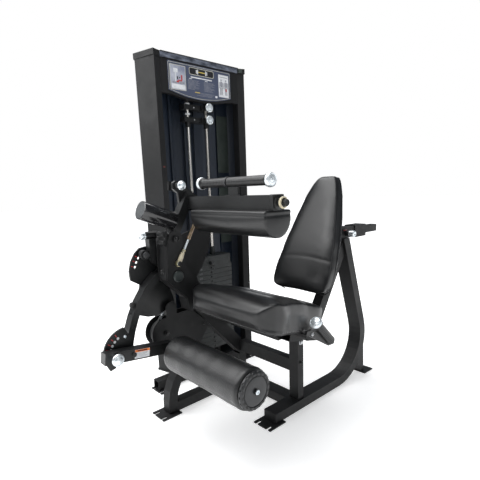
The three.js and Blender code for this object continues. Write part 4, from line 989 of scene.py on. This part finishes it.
# ---------------------------------------- backrest: staples along its board, piping
def staple_row(name, pts, body, pitch=10.0, length=5.5, r=0.9):
    """Short wire staples laid along a line of the model's mm, on the outside of a board."""
    pts = [Vector(p) for p in pts]
    verts, faces = [], []
    for a, b in zip(pts[:-1], pts[1:]):
        d = b - a
        m = max(1, int(d.length / pitch))
        t = d.normalized()
        u = t.orthogonal().normalized()
        v = t.cross(u)
        for i in range(m):
            c = a + d * ((i + 0.5) / m)
            k = len(verts)
            for s in (-length / 2, length / 2):
                for e, f in ((-r, -r), (r, -r), (r, r), (-r, r)):
                    verts.append(P(*(c + t * s + u * e + v * f)))
            faces += [(k, k + 1, k + 2, k + 3), (k + 4, k + 5, k + 6, k + 7)]
            faces += [(k + j, k + (j + 1) % 4, k + 4 + (j + 1) % 4, k + 4 + j) for j in range(4)]
    link(name, mesh_from(name, verts, faces), "thread", body)


def on_back(w, n):
    return BACK_FOOT[0] + BW[0] * w + BN[0] * n, BACK_FOOT[1] + BW[1] * w + BN[1] * n


# half the board's outline as (X, w), from its foot to the top
EDGE = [(98, -34), (126, -28), (144, -10), (150, 20), (150, 70), (136, 190), (112, 300), (84, 400), (64, 452),
        (46, 482), (24, 498)]
for s, side in ((1, "left"), (-1, "right")):
    line = []
    for x, w in EDGE[1:]:
        n0 = 66 - 4 * (w + 24) / 520 - 6
        line.append((s * (x - 4.4), *on_back(w + (5 if w < 100 else -5), n0)))
    staple_row("back_staples_" + side, line, "backrest")
    seam = []
    for x, w in EDGE:
        seam.append(P(s * (x + 0.6), *on_back(w, 52 - 4 * (w + 24) / 520)))
    tube("back_piping_" + side, seam, 2.3, "vinyl", "backrest", 10)


# ---------------------------------------- floor and light
FLOOR_HALF, FLOOR_Z = 30.0, -0.0005


def stage():
    me = bpy.data.meshes.new("floor")
    s, z = FLOOR_HALF, FLOOR_Z
    me.from_pydata([(-s, -s, z), (s, -s, z), (s, s, z), (-s, s, z)], [], [(0, 1, 2, 3)])
    floor = bpy.data.objects.new("floor", me)
    scene.collection.objects.link(floor)
    m, nt, p = _new("floor")
    p.inputs["Base Color"].default_value = (0.84, 0.84, 0.84, 1)
    p.inputs["Roughness"].default_value = 0.95
    p.inputs["Specular IOR Level"].default_value = 0.1
    p.inputs["Emission Color"].default_value = (1, 1, 1, 1)
    # the floor brightens to plain white with distance, so that no horizon shows
    away = nt.nodes.new("ShaderNodeVectorMath")
    away.operation = "LENGTH"
    nt.links.new(nt.nodes.new("ShaderNodeNewGeometry").outputs["Position"], away.inputs[0])
    nt.links.new(_map(nt, away.outputs["Value"], 0.9, 2.6, 0.48, 1.0), p.inputs["Emission Strength"])
    me.materials.append(m)
    w = bpy.data.worlds.new("studio")
    scene.world = w
    w.use_nodes = True
    bg = w.node_tree.nodes["Background"]
    bg.inputs["Color"].default_value = (0.86, 0.92, 1.0, 1)
    bg.inputs["Strength"].default_value = 0.19
    wt = w.node_tree
    # plain white to the camera, and a dim blue-white to everything else
    seen = wt.nodes.new("ShaderNodeBackground")
    seen.inputs["Color"].default_value = (1, 1, 1, 1)
    seen.inputs["Strength"].default_value = 1.0
    pick = wt.nodes.new("ShaderNodeMixShader")
    path = wt.nodes.new("ShaderNodeLightPath")
    wt.links.new(path.outputs["Is Camera Ray"], pick.inputs[0])
    wt.links.new(bg.outputs[0], pick.inputs[1])
    wt.links.new(seen.outputs[0], pick.inputs[2])
    wt.links.new(pick.outputs[0], wt.nodes["World Output"].inputs[0])

    def area(name, at, aim, size, power, size_y=None):
        d = bpy.data.lights.new(name, "AREA")
        d.energy = power
        d.size = size
        if size_y:
            d.shape, d.size_y = "RECTANGLE", size_y
        o = bpy.data.objects.new(name, d)
        scene.collection.objects.link(o)
        o.location = at
        o.rotation_mode = "QUATERNION"
        o.rotation_quaternion = (Vector(aim) - Vector(at)).to_track_quat("-Z", "Y")
        o.visible_camera = False
    area("top", (-0.9, -0.7, 3.4), (-0.5, -0.4, 0.0), 4.2, 150, 3.4)
    area("front_left", (-1.3, -2.3, 2.2), (0.25, 0.2, 0.8), 1.2, 30, 1.6)
    area("right", (3.0, -0.6, 2.2), (0.0, 0.0, 0.6), 1.6, 14)
    sun = bpy.data.lights.new("even", "SUN")
    sun.energy, sun.angle = 1.0, 1.2
    o = bpy.data.objects.new("even", sun)
    scene.collection.objects.link(o)
    o.rotation_euler = (0.25, -0.35, 0)


stage()
scene.view_settings.view_transform = "Standard"
